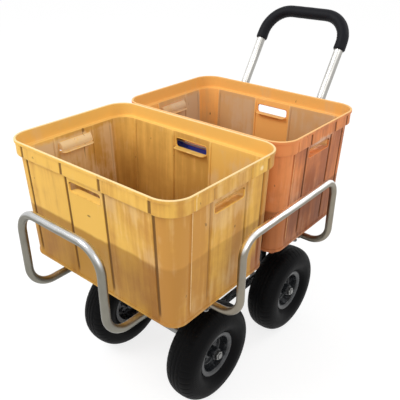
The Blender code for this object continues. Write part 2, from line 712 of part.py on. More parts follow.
def make_handle(frame):
    bow_mesh = tube_mesh(handle_path(), ACROSS, TUBE_RADIUS, TUBE_BORE, "handle_bow")
    bow = add_piece("handle_bow", bow_mesh, bright_tube(), frame, (0, 0, 0))
    grip_mesh = tube_mesh(grip_path(), ACROSS, GRIP_DIAMETER / 2, TUBE_RADIUS + FIT_GAP, "handle_grip")
    add_piece("handle_grip", grip_mesh, grip_foam(), frame, (0, 0, 0))
    for side, sign in SIDES.items():
        x = sign * RAIL_HALF_SPACING
        cut_joint_hole(bow, (x, HANDLE_START_Y + JOINT_BOLT_SETBACK, RAIL_Z))
        make_spigot("joint_spigot_" + side, frame, x)
        make_joint_bolt("joint_bolt_" + side, frame, (x, HANDLE_START_Y + JOINT_BOLT_SETBACK, RAIL_Z))


def make_handle_brace(frame):
    """Cross tube between the two legs, at the middle of their kink."""
    half_length = RAIL_HALF_SPACING - TUBE_RADIUS - FIT_GAP
    inward = HANDLE_KINK_BEND * (1 / math.cos(HANDLE_LEAN / 2) - 1)
    y = HANDLE_Y + inward * math.cos(HANDLE_LEAN / 2)
    z = HANDLE_KINK_HEIGHT - inward * math.sin(HANDLE_LEAN / 2)
    outer = HANDLE_BRACE_DIAMETER / 2
    mesh = straight_tube(2 * half_length, ACROSS, UP, outer, outer - HANDLE_BRACE_WALL, "handle_brace")
    add_piece("handle_brace", mesh, bright_tube(), frame, (-half_length, y, z))


def make_spigot(name, frame, x):
    """Short inner tube, half in the rail and half in the handle bow."""
    outer = TUBE_BORE - FIT_GAP
    start_y = HANDLE_START_Y - FIT_GAP / 2 - SPIGOT_LENGTH / 2
    mesh = straight_tube(SPIGOT_LENGTH, ALONG, UP, outer, outer - SPIGOT_WALL, name)
    spigot = add_piece(name, mesh, zinc(), frame, (x, start_y, RAIL_Z))
    cut_joint_hole(spigot, (0, HANDLE_START_Y + JOINT_BOLT_SETBACK - start_y, 0))


def make_joint_bolt(name, frame, place):
    """Hexagon bolt with its nut, across the handle joint."""
    radius = JOINT_BOLT_DIAMETER / 2
    head = hex_radius(JOINT_BOLT_HEAD_FLATS)
    seat = TUBE_RADIUS + FIT_GAP
    end = seat + JOINT_BOLT_HEAD_HEIGHT
    levels = [(-end, head), (-seat, head), (-seat, radius), (seat, radius), (seat, head), (end, head)]
    add_piece(name, stepped_bar(levels, SMALL_SIDES, name), zinc(), frame, place, (0, QUARTER, 0))


# Undercarriage


def make_posts(frame):
    """Upright tubes between the under rails and the axles."""
    top = UNDER_Z - TUBE_RADIUS - FIT_GAP
    bottom = -AXLE_DEPTH - POST_BELOW_AXLE
    for where, y in AXLE_PLACES.items():
        for side, sign in SIDES.items():
            name = "axle_post_" + where + "_" + side
            mesh = straight_tube(top - bottom, UP, ACROSS, TUBE_RADIUS, TUBE_BORE, name)
            post = add_piece(name, mesh, dark_steel(), frame, (sign * UNDER_RAIL_HALF_SPACING, y, bottom))
            hole = round_cutter(AXLE_DIAMETER, TUBE_DIAMETER + 2 * CUT_OVERRUN, TUBE_SIDES)
            cut(post, hole, (0, 0, POST_BELOW_AXLE), (0, QUARTER, 0))


def make_stays(frame):
    """Flat bars at axle height that tie the front posts to the rear ones."""
    middle_y = FRONT_AXLE_Y + WHEELBASE / 2
    inset = UNDER_RAIL_HALF_SPACING - TUBE_RADIUS - FIT_GAP - STAY_THICKNESS / 2
    half_height = STAY_HEIGHT / 2
    edge = rounded_rectangle(half_height, WHEELBASE / 2 + half_height, half_height)
    hole = round_outline(bored(AXLE_DIAMETER / 2 + FIT_GAP, TUBE_SIDES), TUBE_SIDES)
    holes = [[(x, y + shift) for x, y in hole] for shift in (-WHEELBASE / 2, WHEELBASE / 2)]
    for side, sign in SIDES.items():
        name = "lower_stay_" + side
        mesh = plate_mesh([edge] + holes, -STAY_THICKNESS / 2, STAY_THICKNESS / 2, name)
        add_piece(name, mesh, dark_steel(), frame, (sign * inset, middle_y, -AXLE_DEPTH), (0, QUARTER, 0))


def make_axles(frame):
    """Bars with turned-down ends; each shoulder stops the wheel on its inner side."""
    spindle = SPINDLE_DIAMETER / 2
    body = AXLE_DIAMETER / 2
    levels = [(-SPINDLE_END_X, spindle), (-SHOULDER_X, spindle), (-SHOULDER_X, body),
              (SHOULDER_X, body), (SHOULDER_X, spindle), (SPINDLE_END_X, spindle)]
    for where, y in AXLE_PLACES.items():
        name = "axle_" + where
        mesh = stepped_bar(levels, TUBE_SIDES, name)
        add_piece(name, mesh, zinc(), frame, (0, y, -AXLE_DEPTH), (0, QUARTER, 0))
        for side, sign in SIDES.items():
            make_axle_nut("axle_nut_" + where + "_" + side, frame, (sign * NUT_X, y, -AXLE_DEPTH), sign)


def make_axle_nut(name, frame, place, sign):
    outside = round_outline(hex_radius(AXLE_NUT_FLATS), SMALL_SIDES)
    bore = round_outline(bored(SPINDLE_DIAMETER / 2 + FIT_GAP, TUBE_SIDES), TUBE_SIDES)
    mesh = plate_mesh([outside, bore], 0, AXLE_NUT_HEIGHT, name)
    add_piece(name, mesh, zinc(), frame, place, (0, sign * QUARTER, 0))


# Wheels


def mirrored(half_section):
    """Section over both sides of the wheel's middle plane from the half at +X."""
    return half_section + [(-along, radius) for along, radius in reversed(half_section)]


def tyre_section():
    """From under the crown down the inside to the bead, then up the outside."""
    crown = bored(WHEEL_DIAMETER / 2, WHEEL_SIDES)
    bead_face = RIM_WIDTH / 2 - RIM_THICKNESS - FIT_GAP
    bead_foot = RIM_SEAT_RADIUS + FIT_GAP
    return [(0, crown - TYRE_TREAD_THICKNESS)] + mirrored([
        (TYRE_WIDTH / 2 - TYRE_SIDEWALL_THICKNESS, TYRE_WIDEST_RADIUS),
        (bead_face - TYRE_BEAD_WIDTH, bead_foot),
        (bead_face, bead_foot),
        (bead_face, RIM_FLANGE_RADIUS + FIT_GAP),
        (TYRE_WIDTH / 2, TYRE_WIDEST_RADIUS),
        (TYRE_FULL_WIDTH / 2, crown - TYRE_FULL_DROP),
        (TYRE_SHOULDER_WIDTH / 2, crown - TYRE_CROWN_DROP),
        (TYRE_TREAD_WIDTH / 2, crown),
    ])


def rim_section():
    """Pressed rim with flanges and seats, a middle web and the hub tube."""
    half = RIM_WIDTH / 2
    web = RIM_WEB_THICKNESS / 2
    bore = bored(BUSH_DIAMETER / 2 + FIT_GAP, WHEEL_SIDES)
    under_seat = RIM_SEAT_RADIUS - RIM_THICKNESS
    return [(0, RIM_SEAT_RADIUS - RIM_WELL_DEPTH)] + mirrored([
        (half - RIM_THICKNESS, RIM_SEAT_RADIUS),
        (half - RIM_THICKNESS, RIM_FLANGE_RADIUS),
        (half, RIM_FLANGE_RADIUS),
        (half, under_seat),
        (web, under_seat - RIM_WELL_DEPTH),
        (web, bore + HUB_WALL),
        (HUB_LENGTH / 2, bore + HUB_WALL),
        (HUB_LENGTH / 2, bore),
    ])


def bush_section():
    """Plain bush through the hub with one flange at the outer end."""
    bore = bored(SPINDLE_DIAMETER / 2 + FIT_GAP, BUSH_SIDES)
    flange_start = HUB_LENGTH / 2 + FIT_GAP
    return [
        (-HUB_LENGTH / 2, bore),
        (-HUB_LENGTH / 2, BUSH_DIAMETER / 2),
        (flange_start, BUSH_DIAMETER / 2),
        (flange_start, BUSH_FLANGE_DIAMETER / 2),
        (BUSH_END, BUSH_FLANGE_DIAMETER / 2),
        (BUSH_END, bore),
    ]


def add_valve(rim):
    """Valve stem that points to the axle from the rim's outer seat."""
    x = (RIM_WEB_THICKNESS + RIM_WIDTH) / 4
    seat = RIM_SEAT_RADIUS - RIM_THICKNESS / 2 - RIM_WELL_DEPTH * (1 - 2 * x / RIM_WIDTH)
    radius = VALVE_DIAMETER / 2
    stem = stepped_bar([(seat - VALVE_LENGTH, radius), (seat, radius)], SMALL_SIDES, "valve")
    join(rim, stem, (x, 0, 0))


def make_wheels(frame):
    """Each wheel turns about its own empty, whose local +X points away from the cart."""
    for where, y in AXLE_PLACES.items():
        for side, sign in SIDES.items():
            name = where + "_" + side
            turn = 0 if sign > 0 else math.pi
            axis = add_empty("wheel_axis_" + name, frame, (sign * HALF_TRACK, y, -AXLE_DEPTH), (0, 0, turn))
            tyre_mesh = turned_mesh(tyre_section(), WHEEL_SIDES, "tyre_" + name)
            add_piece("tyre_" + name, tyre_mesh, tyre_rubber(), axis, (0, 0, 0))
            rim_mesh = turned_mesh(rim_section(), WHEEL_SIDES, "rim_" + name)
            add_valve(add_piece("rim_" + name, rim_mesh, dark_steel(), axis, (0, 0, 0)))
            bush_mesh = turned_mesh(bush_section(), BUSH_SIDES, "bush_" + name)
            add_piece("bush_" + name, bush_mesh, black_plastic(), axis, (0, 0, 0))


def main():
    clear_scene()
    frame = add_empty("cart_frame", None, (0, -MIDDLE_Y, GROUND_DEPTH))
    make_crates(frame)
    make_rails(frame)
    make_cross_tubes(frame)
    make_under_rails(frame)
    make_saddles(frame)
    make_guards(frame)
    make_handle(frame)
    make_handle_brace(frame)
    make_posts(frame)
    make_stays(frame)
    make_axles(frame)
    make_wheels(frame)
    bpy.context.view_layer.update()


main()
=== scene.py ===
import math
import bmesh
import bpy
import numpy as np
from mathutils import Matrix, Vector


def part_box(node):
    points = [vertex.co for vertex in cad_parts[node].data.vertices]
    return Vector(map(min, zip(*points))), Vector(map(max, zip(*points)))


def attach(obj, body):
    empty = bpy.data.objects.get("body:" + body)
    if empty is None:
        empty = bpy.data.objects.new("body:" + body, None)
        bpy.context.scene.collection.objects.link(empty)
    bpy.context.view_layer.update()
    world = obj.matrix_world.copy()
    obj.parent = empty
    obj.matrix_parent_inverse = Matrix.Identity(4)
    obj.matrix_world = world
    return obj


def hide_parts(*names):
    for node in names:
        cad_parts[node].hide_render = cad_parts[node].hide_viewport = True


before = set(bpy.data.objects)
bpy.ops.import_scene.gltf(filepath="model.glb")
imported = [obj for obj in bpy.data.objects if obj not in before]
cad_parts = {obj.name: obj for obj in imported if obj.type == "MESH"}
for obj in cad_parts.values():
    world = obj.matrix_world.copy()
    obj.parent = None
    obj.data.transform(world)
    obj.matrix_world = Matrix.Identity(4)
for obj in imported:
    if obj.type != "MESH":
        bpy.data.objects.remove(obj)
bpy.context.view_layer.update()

# deck places: X across the cart, Y from the front edge of the load, Z from the underside of the crates
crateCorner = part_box("crate_front")[0]
deckFoot = np.array([0.0, crateCorner.y, crateCorner.z + 0.008])
tau, mm = 2 * math.pi, 0.001
sideSigns = {"left": -1, "right": 1}


def deck(x, y, z):
    return deckFoot + (x, y, z)


def middleOf(node):
    low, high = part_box(node)
    return (np.array(low) + np.array(high)) / 2


# lines and surfaces

def unit(vectors):
    return vectors / np.linalg.norm(vectors, axis=-1, keepdims=True)


def fillet(corners, radii, steps=5):  # each inner corner of a line becomes an arc that touches both its sides
    corners = [np.array(corner, float) for corner in corners]
    path = [corners[0]]
    for before, corner, after, radius in zip(corners, corners[1:], corners[2:], radii):
        back, ahead = unit(before - corner), unit(after - corner)
        half = math.acos(np.clip(back @ ahead, -1, 1)) / 2
        centre = corner + unit(back + ahead) * radius / math.sin(half)
        start = corner + back * radius / math.tan(half) - centre
        end = corner + ahead * radius / math.tan(half) - centre
        across = unit(end - start * (start @ end) / (start @ start)) * radius
        turn = np.linspace(0, math.pi - 2 * half, steps + 1)[:, None]
        path.extend(centre + start * np.cos(turn) + across * np.sin(turn))
    return np.array(path + [corners[-1]])


def refine(path, pitch):  # straight stretches longer than the pitch are shared out evenly
    gaps = np.linalg.norm(np.diff(path, axis=0), axis=1)
    counts = np.maximum(np.ceil(gaps / pitch).astype(int), 1)
    index = np.append(np.repeat(np.arange(len(gaps)), counts), len(gaps) - 1)
    share = np.append(np.concatenate([np.arange(count) / count for count in counts]), 1.0)[:, None]
    return path[index] * (1 - share) + path[index + 1] * share


def smoothLine(points, count):  # Catmull-Rom curve: each stretch is a cubic led by its two neighbours
    points = np.array(points, float)
    padded = np.concatenate([2 * points[:1] - points[1:2], points, 2 * points[-1:] - points[-2:-1]])
    place = np.linspace(0, len(points) - 1, count)
    index = np.minimum(place.astype(int), len(points) - 2)
    t = (place - index)[:, None]
    a, b, c, d = (padded[index + shift] for shift in range(4))
    bend = (2 * a - 5 * b + 4 * c - d) * t ** 2 + (3 * b - a - 3 * c + d) * t ** 3
    return 0.5 * (2 * b + (c - a) * t + bend)


def smoothStep(value, low, high):  # 0 below low, 1 above high, an S curve between them
    t = np.clip((value - low) / (high - low), 0, 1)
    return t * t * (3 - 2 * t)


def bump(value, middle, width):  # 1 at the middle, falling off as a bell
    return np.exp(-((value - middle) / width) ** 2)


def ringAngles(count):
    return tau * np.arange(count) / count


def joined(*parts):  # coordinates of matching shapes become points
    return np.stack(np.broadcast_arrays(*parts), -1)


def roundedOutline(halfX, halfY, radius, steps, pitch):  # rectangle with round corners, as x, y rows
    corners = [(halfX, 0), (halfX, halfY), (-halfX, halfY), (-halfX, -halfY), (halfX, -halfY), (halfX, 0)]
    return refine(fillet(corners, [radius] * 4, steps), pitch)[:-1]


def outwardOf(outline):  # unit directions square to a closed outline
    return unit(np.roll(outline, -1, 0) - np.roll(outline, 1, 0)) @ np.array([[0, -1], [1, 0]])


def bothSides(half):  # a half section that ends in its middle, and its mirror image
    return np.concatenate([half, half[::-1][1:] * (-1, 1)])


def sweepArms(path, sides):  # unit arms square to a path: side x cos + up x sin
    tangent = unit(np.gradient(path, axis=0))
    side = unit(np.cross(tangent, (0.71, 0.70, 0.02)))
    up = np.cross(side, tangent)
    angle = ringAngles(sides)[None, :, None]
    return side[:, None] * np.cos(angle) + up[:, None] * np.sin(angle)


def runAlong(path):  # distance from the path's start
    return np.append(0, np.cumsum(np.linalg.norm(np.diff(path, axis=0), axis=1)))


def tubeFlow(path, sides, radius):  # distance along the path, then r cos a and r sin a round it
    angle = ringAngles(sides)
    return joined(runAlong(path)[:, None], radius * np.cos(angle), radius * np.sin(angle))


def thereAndBack(outside, inside):  # rows along the outside, then back along the inside
    return np.concatenate([outside, inside[::-1]])


class Skin:  # one piece's points and faces, gathered grid by grid
    def __init__(self):
        self.points, self.faces, self.marks, self.flow, self.count = [], [], [], [], 0

    def grid(self, points, closedRows=False, caps=(), marks=0.0, flow=0.0, keep=slice(None)):
        rows, columns = points.shape[:2]
        row, j = np.arange(rows - (not closedRows))[:, None] * columns, np.arange(columns)
        over, beside = (row + columns) % (rows * columns), np.roll(j, -1)
        quads = joined(row + j, row + beside, over + beside, over + j)
        self.faces.append(quads[keep].reshape(-1, 4) + self.count)
        for number, end in enumerate(caps):  # a fan to the middle of an end ring
            ring = end % rows * columns
            self.faces.append(joined(ring + j, ring + beside, rows * columns + number) + self.count)
        for kept, values in ((self.points, points), (self.marks, marks), (self.flow, flow)):
            values = np.broadcast_to(values, points.shape)
            kept.append(np.concatenate([values.reshape(-1, 3)] + [values[end].mean(0)[None] for end in caps]))
        self.count += len(self.points[-1])
        return self

    def tube(self, path, size, sides=40):  # outside along the path, then back along the bore
        arms = sweepArms(path, sides)
        flow = tubeFlow(path, sides, size["radius"])
        walls = (path[:, None] + arms * size[key] for key in ("radius", "bore"))
        return self.grid(thereAndBack(*walls), True, flow=thereAndBack(flow, flow))

    def lathe(self, profile, place, axis=(0, 0, 1), sides=40, flats=None, thread=None):
        # radius, height rows turned about an axis: x = r cos a, y = r sin a; a hexagon across flats caps the
        # radius, and a thread takes depth x saw(height / pitch - a / turn) off it
        radius, height = np.array(profile, float).T[:, :, None]
        solid = radius[0, 0] < 0.1 * mm
        angle = ringAngles(sides)
        if flats:
            radius = np.minimum(radius, flats / 2 / np.cos((angle + tau / 12) % (tau / 6) - tau / 12))
        if thread:
            low, high, pitch, depth = thread
            cutIn = smoothStep(height, low, low + pitch) * (1 - smoothStep(height, high - pitch, high))
            radius = radius - depth * cutIn * np.abs(2 * ((height / pitch - angle / tau) % 1) - 1)
        points = joined(radius * np.cos(angle), radius * np.sin(angle), height)
        turn = np.array(Vector(axis).to_track_quat("Z", "Y").to_matrix())
        return self.grid(points @ turn.T + place, not solid, (0, -1) if solid else ())

    def weld(self, line, thickness):  # a closed bead whose radius swells and shrinks along its line
        line = np.array(line)
        tangent = unit(np.roll(line, -1, 0) - np.roll(line, 1, 0))
        side = unit(np.cross(tangent, (0.31, 0.23, 0.92)))
        up = np.cross(side, tangent)
        angle = ringAngles(8)[:, None, None]
        swell = thickness * (1 + 0.18 * np.sin(np.arange(len(line)) * 1.9))[:, None]
        return self.grid(line + swell * (side * np.cos(angle) + up * np.sin(angle)), True)

    def piece(self, name, node, finish, body="deck", sharp=38):
        corners = np.concatenate([faces.ravel() for faces in self.faces])
        sizes = np.concatenate([np.full(len(faces), faces.shape[1]) for faces in self.faces])
        mesh = bpy.data.meshes.new(name)
        for rows, key, values, kind in ((mesh.vertices, "co", np.concatenate(self.points), np.float32),
                                        (mesh.loops, "vertex_index", corners, np.int32),
                                        (mesh.polygons, "loop_start", np.cumsum(sizes) - sizes, np.int32)):
            rows.add(len(values))
            rows.foreach_set(key, values.astype(kind).ravel())
        mesh.update(calc_edges=True)
        for attribute, values in (("marks", self.marks), ("flow", self.flow)):
            layer = mesh.attributes.new(attribute, "FLOAT_VECTOR", "POINT")
            layer.data.foreach_set("vector", np.concatenate(values).astype(np.float32).ravel())
        work = bmesh.new()
        work.from_mesh(mesh)
        bmesh.ops.remove_doubles(work, verts=work.verts, dist=1e-6)
        bmesh.ops.recalc_face_normals(work, faces=work.faces)
        work.to_mesh(mesh)
        work.free()
        mesh.shade_smooth()
        mesh.set_sharp_from_angle(angle=math.radians(sharp))
        mesh.materials.append(finish[0])
        made = bpy.data.objects.new(name, mesh)
        bpy.context.scene.collection.objects.link(made)
        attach(made, body)
        if node:
            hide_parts(node)
        return made


# materials

class Value:  # one output socket, with arithmetic that adds Math nodes
    def __init__(self, graph, socket):
        self.graph, self.socket = graph, socket

    def __add__(self, other):
        return self.graph.sum("ADD", self, other)

    def __sub__(self, other):
        return self.graph.sum("SUBTRACT", self, other)

    def __rsub__(self, other):
        return self.graph.sum("SUBTRACT", other, self)

    def __mul__(self, other):
        return self.graph.sum("MULTIPLY", self, other)

    __radd__, __rmul__ = __add__, __mul__


class Graph:  # the nodes of a material, or of the world
    def __init__(self, name, owner=None):
        self.material = owner or bpy.data.materials.new(name)
        self.material.use_nodes = True
        self.tree = self.material.node_tree
        self.tree.nodes.clear()

    def node(self, kind, settings={}, inputs={}, output=0):
        made = self.tree.nodes.new(kind)
        for key, value in settings.items():
            setattr(made, key, value)
        for key, value in inputs.items():
            if isinstance(value, Value):
                self.tree.links.new(value.socket, made.inputs[key])
            elif made.inputs[key].type == "RGBA":
                made.inputs[key].default_value = (*value, 1)
            else:
                made.inputs[key].default_value = value
        return Value(self, made.outputs[output]) if len(made.outputs) else made

    def sum(self, operation, first, second):
        return self.node("ShaderNodeMath", {"operation": operation}, {0: first, 1: second})

    def place(self):
        return self.node("ShaderNodeTexCoord", output="Object")

    def attribute(self, name):
        return self.node("ShaderNodeAttribute", {"attribute_name": name}, output="Vector")

    def axes(self, vector):
        split = self.node("ShaderNodeSeparateXYZ", inputs={0: vector})
        return [Value(self, socket) for socket in split.socket.node.outputs]

    def stretched(self, vector, scales, shift=(0, 0, 0)):
        inputs = {0: vector, 1: scales, 2: shift}
        return self.node("ShaderNodeVectorMath", {"operation": "MULTIPLY_ADD"}, inputs)

    def noise(self, vector, scale=1.0, detail=3.0, roughness=0.55):
        inputs = {"Vector": vector, "Scale": scale, "Detail": detail, "Roughness": roughness}
        return self.node("ShaderNodeTexNoise", inputs=inputs)

    def between(self, value, low, high):
        return self.node("ShaderNodeMapRange", {"interpolation_type": "SMOOTHSTEP"},
                         {"Value": value, "From Min": low, "From Max": high})

    def spot(self, place, middle, sizes, ragged):  # 1 in an oval with a ragged rim, 0 outside
        away = self.stretched(place, tuple(1 / sizes), tuple(-middle / sizes))
        length = self.node("ShaderNodeVectorMath", {"operation": "LENGTH"}, {0: away}, "Value")
        return 1 - self.between(length + 1.2 * (ragged - 0.5), 0.55, 1.25)

    def mix(self, factor, first, second, blend="MIX"):
        return self.node("ShaderNodeMix", {"data_type": "RGBA", "blend_type": blend},
                         {0: factor, 6: first, 7: second}, 2)

    def finish(self, slot, colour, roughness, metallic, height, strength, distance, **fixed):
        bumps = {"Strength": strength, "Distance": distance, "Height": height}
        shader = self.node("ShaderNodeBsdfPrincipled", inputs={
            "Base Color": colour, "Roughness": roughness, "Metallic": metallic,
            "Normal": self.node("ShaderNodeBump", inputs=bumps), **fixed})
        self.node("ShaderNodeOutputMaterial", inputs={"Surface": shader})
        return self.material, slot


# each hue's inner pale and deep colours are lighter than its outer ones: painted light, lifted to light up
# the inner walls
# spots are single marks seen in the photograph: deck place and half sizes in mm, strength, and their colour
crateLooks = {
    "yellow": {"pale": (0.9, 0.53, 0.1), "deep": (0.6, 0.285, 0.055), "haze": (0.86, 0.62, 0.33),
               "innerPale": (0.95, 0.585, 0.145), "innerDeep": (0.66, 0.37, 0.085),
               "innerHaze": (0.86, 0.64, 0.38), "rim": (1, 0.6, 0.15), "depth": (0.62, 0.53, 0.46),
               "darkBelow": (0.53, 0.44, 0.3), "darkBelowHeight": 0.145, "dirtAndShade": (0.175, 0.082, 0.022),
               "wear": (1, 0.8, 0.45), "rust": (0.3, 0.105, 0.04),
               "spots": [((5, 14, 188), (6.2, 4, 2.2), 0.75, "dirtAndShade"), ((60, 17, 40), (3, 4, 7), 0.85, "dirtAndShade"),
                         ((247, 206, 169), (4, 3.4, 4.2), 0.7, "dirtAndShade"),
                         ((-244, 211, 264), (6, 4.5, 6.5), 0.8, "dirtAndShade"),
                         ((-242.5, 208.5, 225), (6, 2.2, 42), 0.6, "dirtAndShade"),
                         ((259, 278, 282), (4, 6.5, 6.5), 0.8, "wear"),
                         ((245, 308, 30), (15, 30, 65), 0.85, "rust")]},
    "orange": {"pale": (0.8, 0.275, 0.082), "deep": (0.4, 0.12, 0.04), "haze": (0.8, 0.54, 0.37),
               "innerPale": (1, 0.52, 0.15), "innerDeep": (0.7, 0.42, 0.185), "innerHaze": (0.7, 0.51, 0.33),
               "rim": (0.96, 0.51, 0.135), "depth": (0.6, 0.49, 0.42), "darkBelow": (0.44, 0.42, 0.4),
               "darkBelowHeight": 0.12, "dirtAndShade": (0.09, 0.035, 0.014), "wear": (1, 0.62, 0.27),
               "rust": (0.16, 0.05, 0.022), "spots": [((247, 462, 75), (15, 30, 60), 0.6, "rust")]}}


def cratePlastic(hue):
    # marks: x soiling and painted shade in grooves, under the skirt, at the floor's edges and by the inner
    # ribs, y tone of the panel, partly painted shade, z rubbed edges and painted highlights; flow: x share of
    # the darker band below a level outside, y 1 on the inner side, z chalky haze
    g, look = Graph(hue + " crate plastic"), crateLooks[hue]
    place = g.place()
    soilAndShade, tone, wear = g.axes(g.attribute("marks"))
    darkBelowShare, inside, chalk = g.axes(g.attribute("flow"))
    height = g.axes(place)[2] - float(deckFoot[2])
    streak = g.noise(g.stretched(place, (70, 70, 5)), detail=5, roughness=0.6)
    band = g.noise(g.stretched(place, (26, 26, 1.6), (2, 6, 1)))
    blotch = g.noise(place, 9, 4, 0.6)
    cloud = g.noise(g.stretched(place, (9, 9, 7.5), (3.1, 1.7, 0.4)), detail=4, roughness=0.6)
    fine = g.noise(place, 260, 2, 0.6)
    scratch = g.noise(g.stretched(place, (30, 30, 420), (5, 2, 8)), detail=2)
    fade = g.between(streak * 0.30 + band * 0.30 + blotch * 0.40 + tone * 0.22, 0.37, 0.63)
    # painted light: the inside takes the lifted inner colours
    inner = g.mix(fade, look["innerDeep"], look["innerPale"])
    # painted shade: the inner walls darken towards the floor, multiplied by the depth colour
    inner = g.mix((1 - g.between(height, 0.010, 0.235)) * 0.95, inner, look["depth"], "MULTIPLY")
    # painted highlight: the rim and the inner band above the ledge take the light rim colour
    inner = g.mix(g.between(height, 0.2665, 0.2705), inner, look["rim"])
    colour = g.mix(inside, g.mix(fade, look["deep"], look["pale"]), inner)
    misty = g.between(cloud + 0.30 * chalk + 0.50 * (streak - 0.5), 0.56, 0.76)
    colour = g.mix(misty * (0.25 + 0.60 * chalk), colour, g.mix(inside, look["haze"], look["innerHaze"]))
    # darker below a level line on the outside, by the share in flow x; the level wavers a little
    edge = look["darkBelowHeight"] + 0.016 * (blotch - 0.5) - 0.006 * tone
    darkBelow = (1 - g.between(height - edge, -0.0045, 0.0045)) * darkBelowShare
    colour = g.mix(darkBelow, colour, look["darkBelow"], "MULTIPLY")
    # painted shade and soiling: the x mark darkens grooves, the band under the skirt, the floor's edges and
    # the rib creases
    grimeAndShade = g.between(soilAndShade + 0.35 * (streak - 0.5) + 0.25 * (blotch - 0.5), 0.18, 0.85)
    colour = g.mix(grimeAndShade * 0.90, colour, look["dirtAndShade"])
    specks = g.noise(g.stretched(place, (60, 60, 34), (9, 3, 5)), detail=2, roughness=0.5)
    colour = g.mix(g.between(specks, 0.735, 0.775) * 0.55, colour, look["dirtAndShade"])
    for middle, sizes, strength, kind in look["spots"]:
        spot = g.spot(place, deckFoot + np.array(middle) * mm, np.array(sizes) * mm, streak)
        colour = g.mix(spot * strength, colour, look[kind])
    # rubbed wear and painted highlights take the pale wear colour
    rub = g.between(wear + 0.5 * (blotch - 0.5) + 0.3 * (fine - 0.5), 0.35, 0.8)
    colour = g.mix(rub * 0.7, colour, look["wear"])
    roughness = 0.46 + 0.16 * blotch + 0.20 * grimeAndShade + 0.10 * chalk
    relief = 0.5 * fine + 0.6 * streak + 0.25 * g.between(scratch, 0.62, 0.72)
    return g.finish(hue + "_plastic", colour, roughness, 0, relief, 0.2, 0.0005, IOR=1.49,
                    **{"Specular IOR Level": 0.28})


def drawnTube(name, flank, top):  # drawing lines along the tube; painted light: upward faces and higher parts take the light top colour, flanks and undersides the dark flank colour
    g = Graph(name + " aluminium tube")
    flow = g.attribute("flow")
    facing = g.axes(g.node("ShaderNodeNewGeometry", output="Normal"))[2]
    high = g.between(g.axes(g.place())[2], 0.33, 0.47)
    lines = g.noise(g.stretched(flow, (14, 1300, 1300)), roughness=0.7)
    cloud = g.noise(g.stretched(flow, (22, 60, 60)), detail=4)
    broad = g.noise(g.stretched(flow, (5, 25, 25), (2, 4, 9)))
    scuff = g.between(g.noise(g.stretched(flow, (160, 420, 420), (7, 3, 1)), detail=2), 0.66, 0.74)
    # painted light: the share of the light top colour grows with the upward normal and with height
    litShare = g.between(facing + 0.55 * (high - 1) + 0.8 * (broad - 0.5) + 0.4 * (cloud - 0.5), 0.22, 0.62)
    colour = g.mix(litShare, flank, top)
    colour = g.mix(g.between(cloud, 0.45, 0.75) * 0.30, colour, tuple(0.55 * part for part in flank))
    colour = g.mix(scuff * 0.35, colour, (0.30, 0.29, 0.27))
    roughness = 0.17 + 0.12 * cloud + 0.16 * scuff + 0.08 * lines + 0.12 * (1 - litShare)
    return g.finish("drawn_aluminium", colour, roughness, 1, 0.6 * lines + 0.4 * scuff, 0.12, 0.0003)


def paintedSteel():  # black paint, orange-peel, rubbed to bare metal on the raised edges
    g = Graph("black painted steel")
    place = g.place()
    wear = g.axes(g.attribute("marks"))[2]
    cloud = g.noise(place, 30, 4)
    dust = g.between(g.noise(place, 55, 5, 0.65), 0.48, 0.72)
    bare = g.between(wear + 0.7 * (cloud - 0.5), 0.55, 0.8)
    colour = g.mix(dust * 0.60, (0.011, 0.012, 0.014), (0.095, 0.1, 0.105))
    colour = g.mix(bare * 0.75, colour, (0.26, 0.27, 0.28))
    roughness = 0.20 + 0.25 * dust + 0.1 * cloud
    return g.finish("dark_steel", colour, roughness, bare * 0.8, g.noise(place, 700, 1), 0.1, 0.0003)


def zincSteel():  # zinc plate: grey clouds with fine turning marks
    g = Graph("zinc plated steel")
    place = g.place()
    cloud = g.noise(place, 120, 4, 0.6)
    rust = g.between(g.noise(place, 90, 5, 0.7), 0.66, 0.78)
    colour = g.mix(cloud, (0.15, 0.15, 0.145), (0.33, 0.33, 0.32))
    colour = g.mix(rust * 0.4, colour, (0.22, 0.13, 0.07))
    roughness = 0.30 + 0.22 * cloud + 0.2 * rust
    return g.finish("zinc_steel", colour, roughness, 1, g.noise(place, 1500, 1), 0.1, 0.0002)


def mouldedPlastic():
    g = Graph("black moulded plastic")
    place = g.place()
    cloud = g.noise(place, 60)
    colour = g.mix(cloud, (0.016, 0.016, 0.018), (0.04, 0.04, 0.042))
    return g.finish("black_plastic", colour, 0.45 + 0.15 * cloud, 0, g.noise(place, 900, 2), 0.25, 0.0003)


def tyreRubber():  # marks: x dust in the tread's grooves
    g = Graph("tyre rubber")
    place = g.place()
    cloud = g.noise(place, 26, 4, 0.6)
    dust = g.between(cloud + 0.5 * g.axes(g.attribute("marks"))[0], 0.60, 1.0)
    colour = g.mix(cloud, (0.0016, 0.0016, 0.0019), (0.0042, 0.0042, 0.0046))
    colour = g.mix(dust * 0.06, colour, (0.02, 0.019, 0.017))
    return g.finish("tyre_rubber", colour, 0.40 + 0.24 * cloud + 0.1 * dust, 0, g.noise(place, 1100, 2, 0.7),
                    0.15, 0.0003, **{"Specular IOR Level": 0.06})


def gripFoam():  # closed-cell foam: pores and a slightly shiny skin
    g = Graph("grip foam")
    place = g.place()
    cells = g.node("ShaderNodeTexVoronoi", inputs={"Vector": place, "Scale": 900.0}, output="Distance")
    cloud = g.noise(place, 40, 4)
    wrinkle = g.noise(g.stretched(g.attribute("flow"), (180, 60, 60)))
    colour = g.mix(cloud, (0.0016, 0.0018, 0.0034), (0.0048, 0.0052, 0.0088))
    return g.finish("grip_foam", colour, 0.46 + 0.2 * cloud, 0, 0.6 * cells + 0.5 * wrinkle, 0.3, 0.0005,
                    **{"Specular IOR Level": 0.18})


label = {"left": -0.080, "right": 0.040, "low": 0.158, "high": 0.233, "head": 0.2296, "thick": 0.0004}


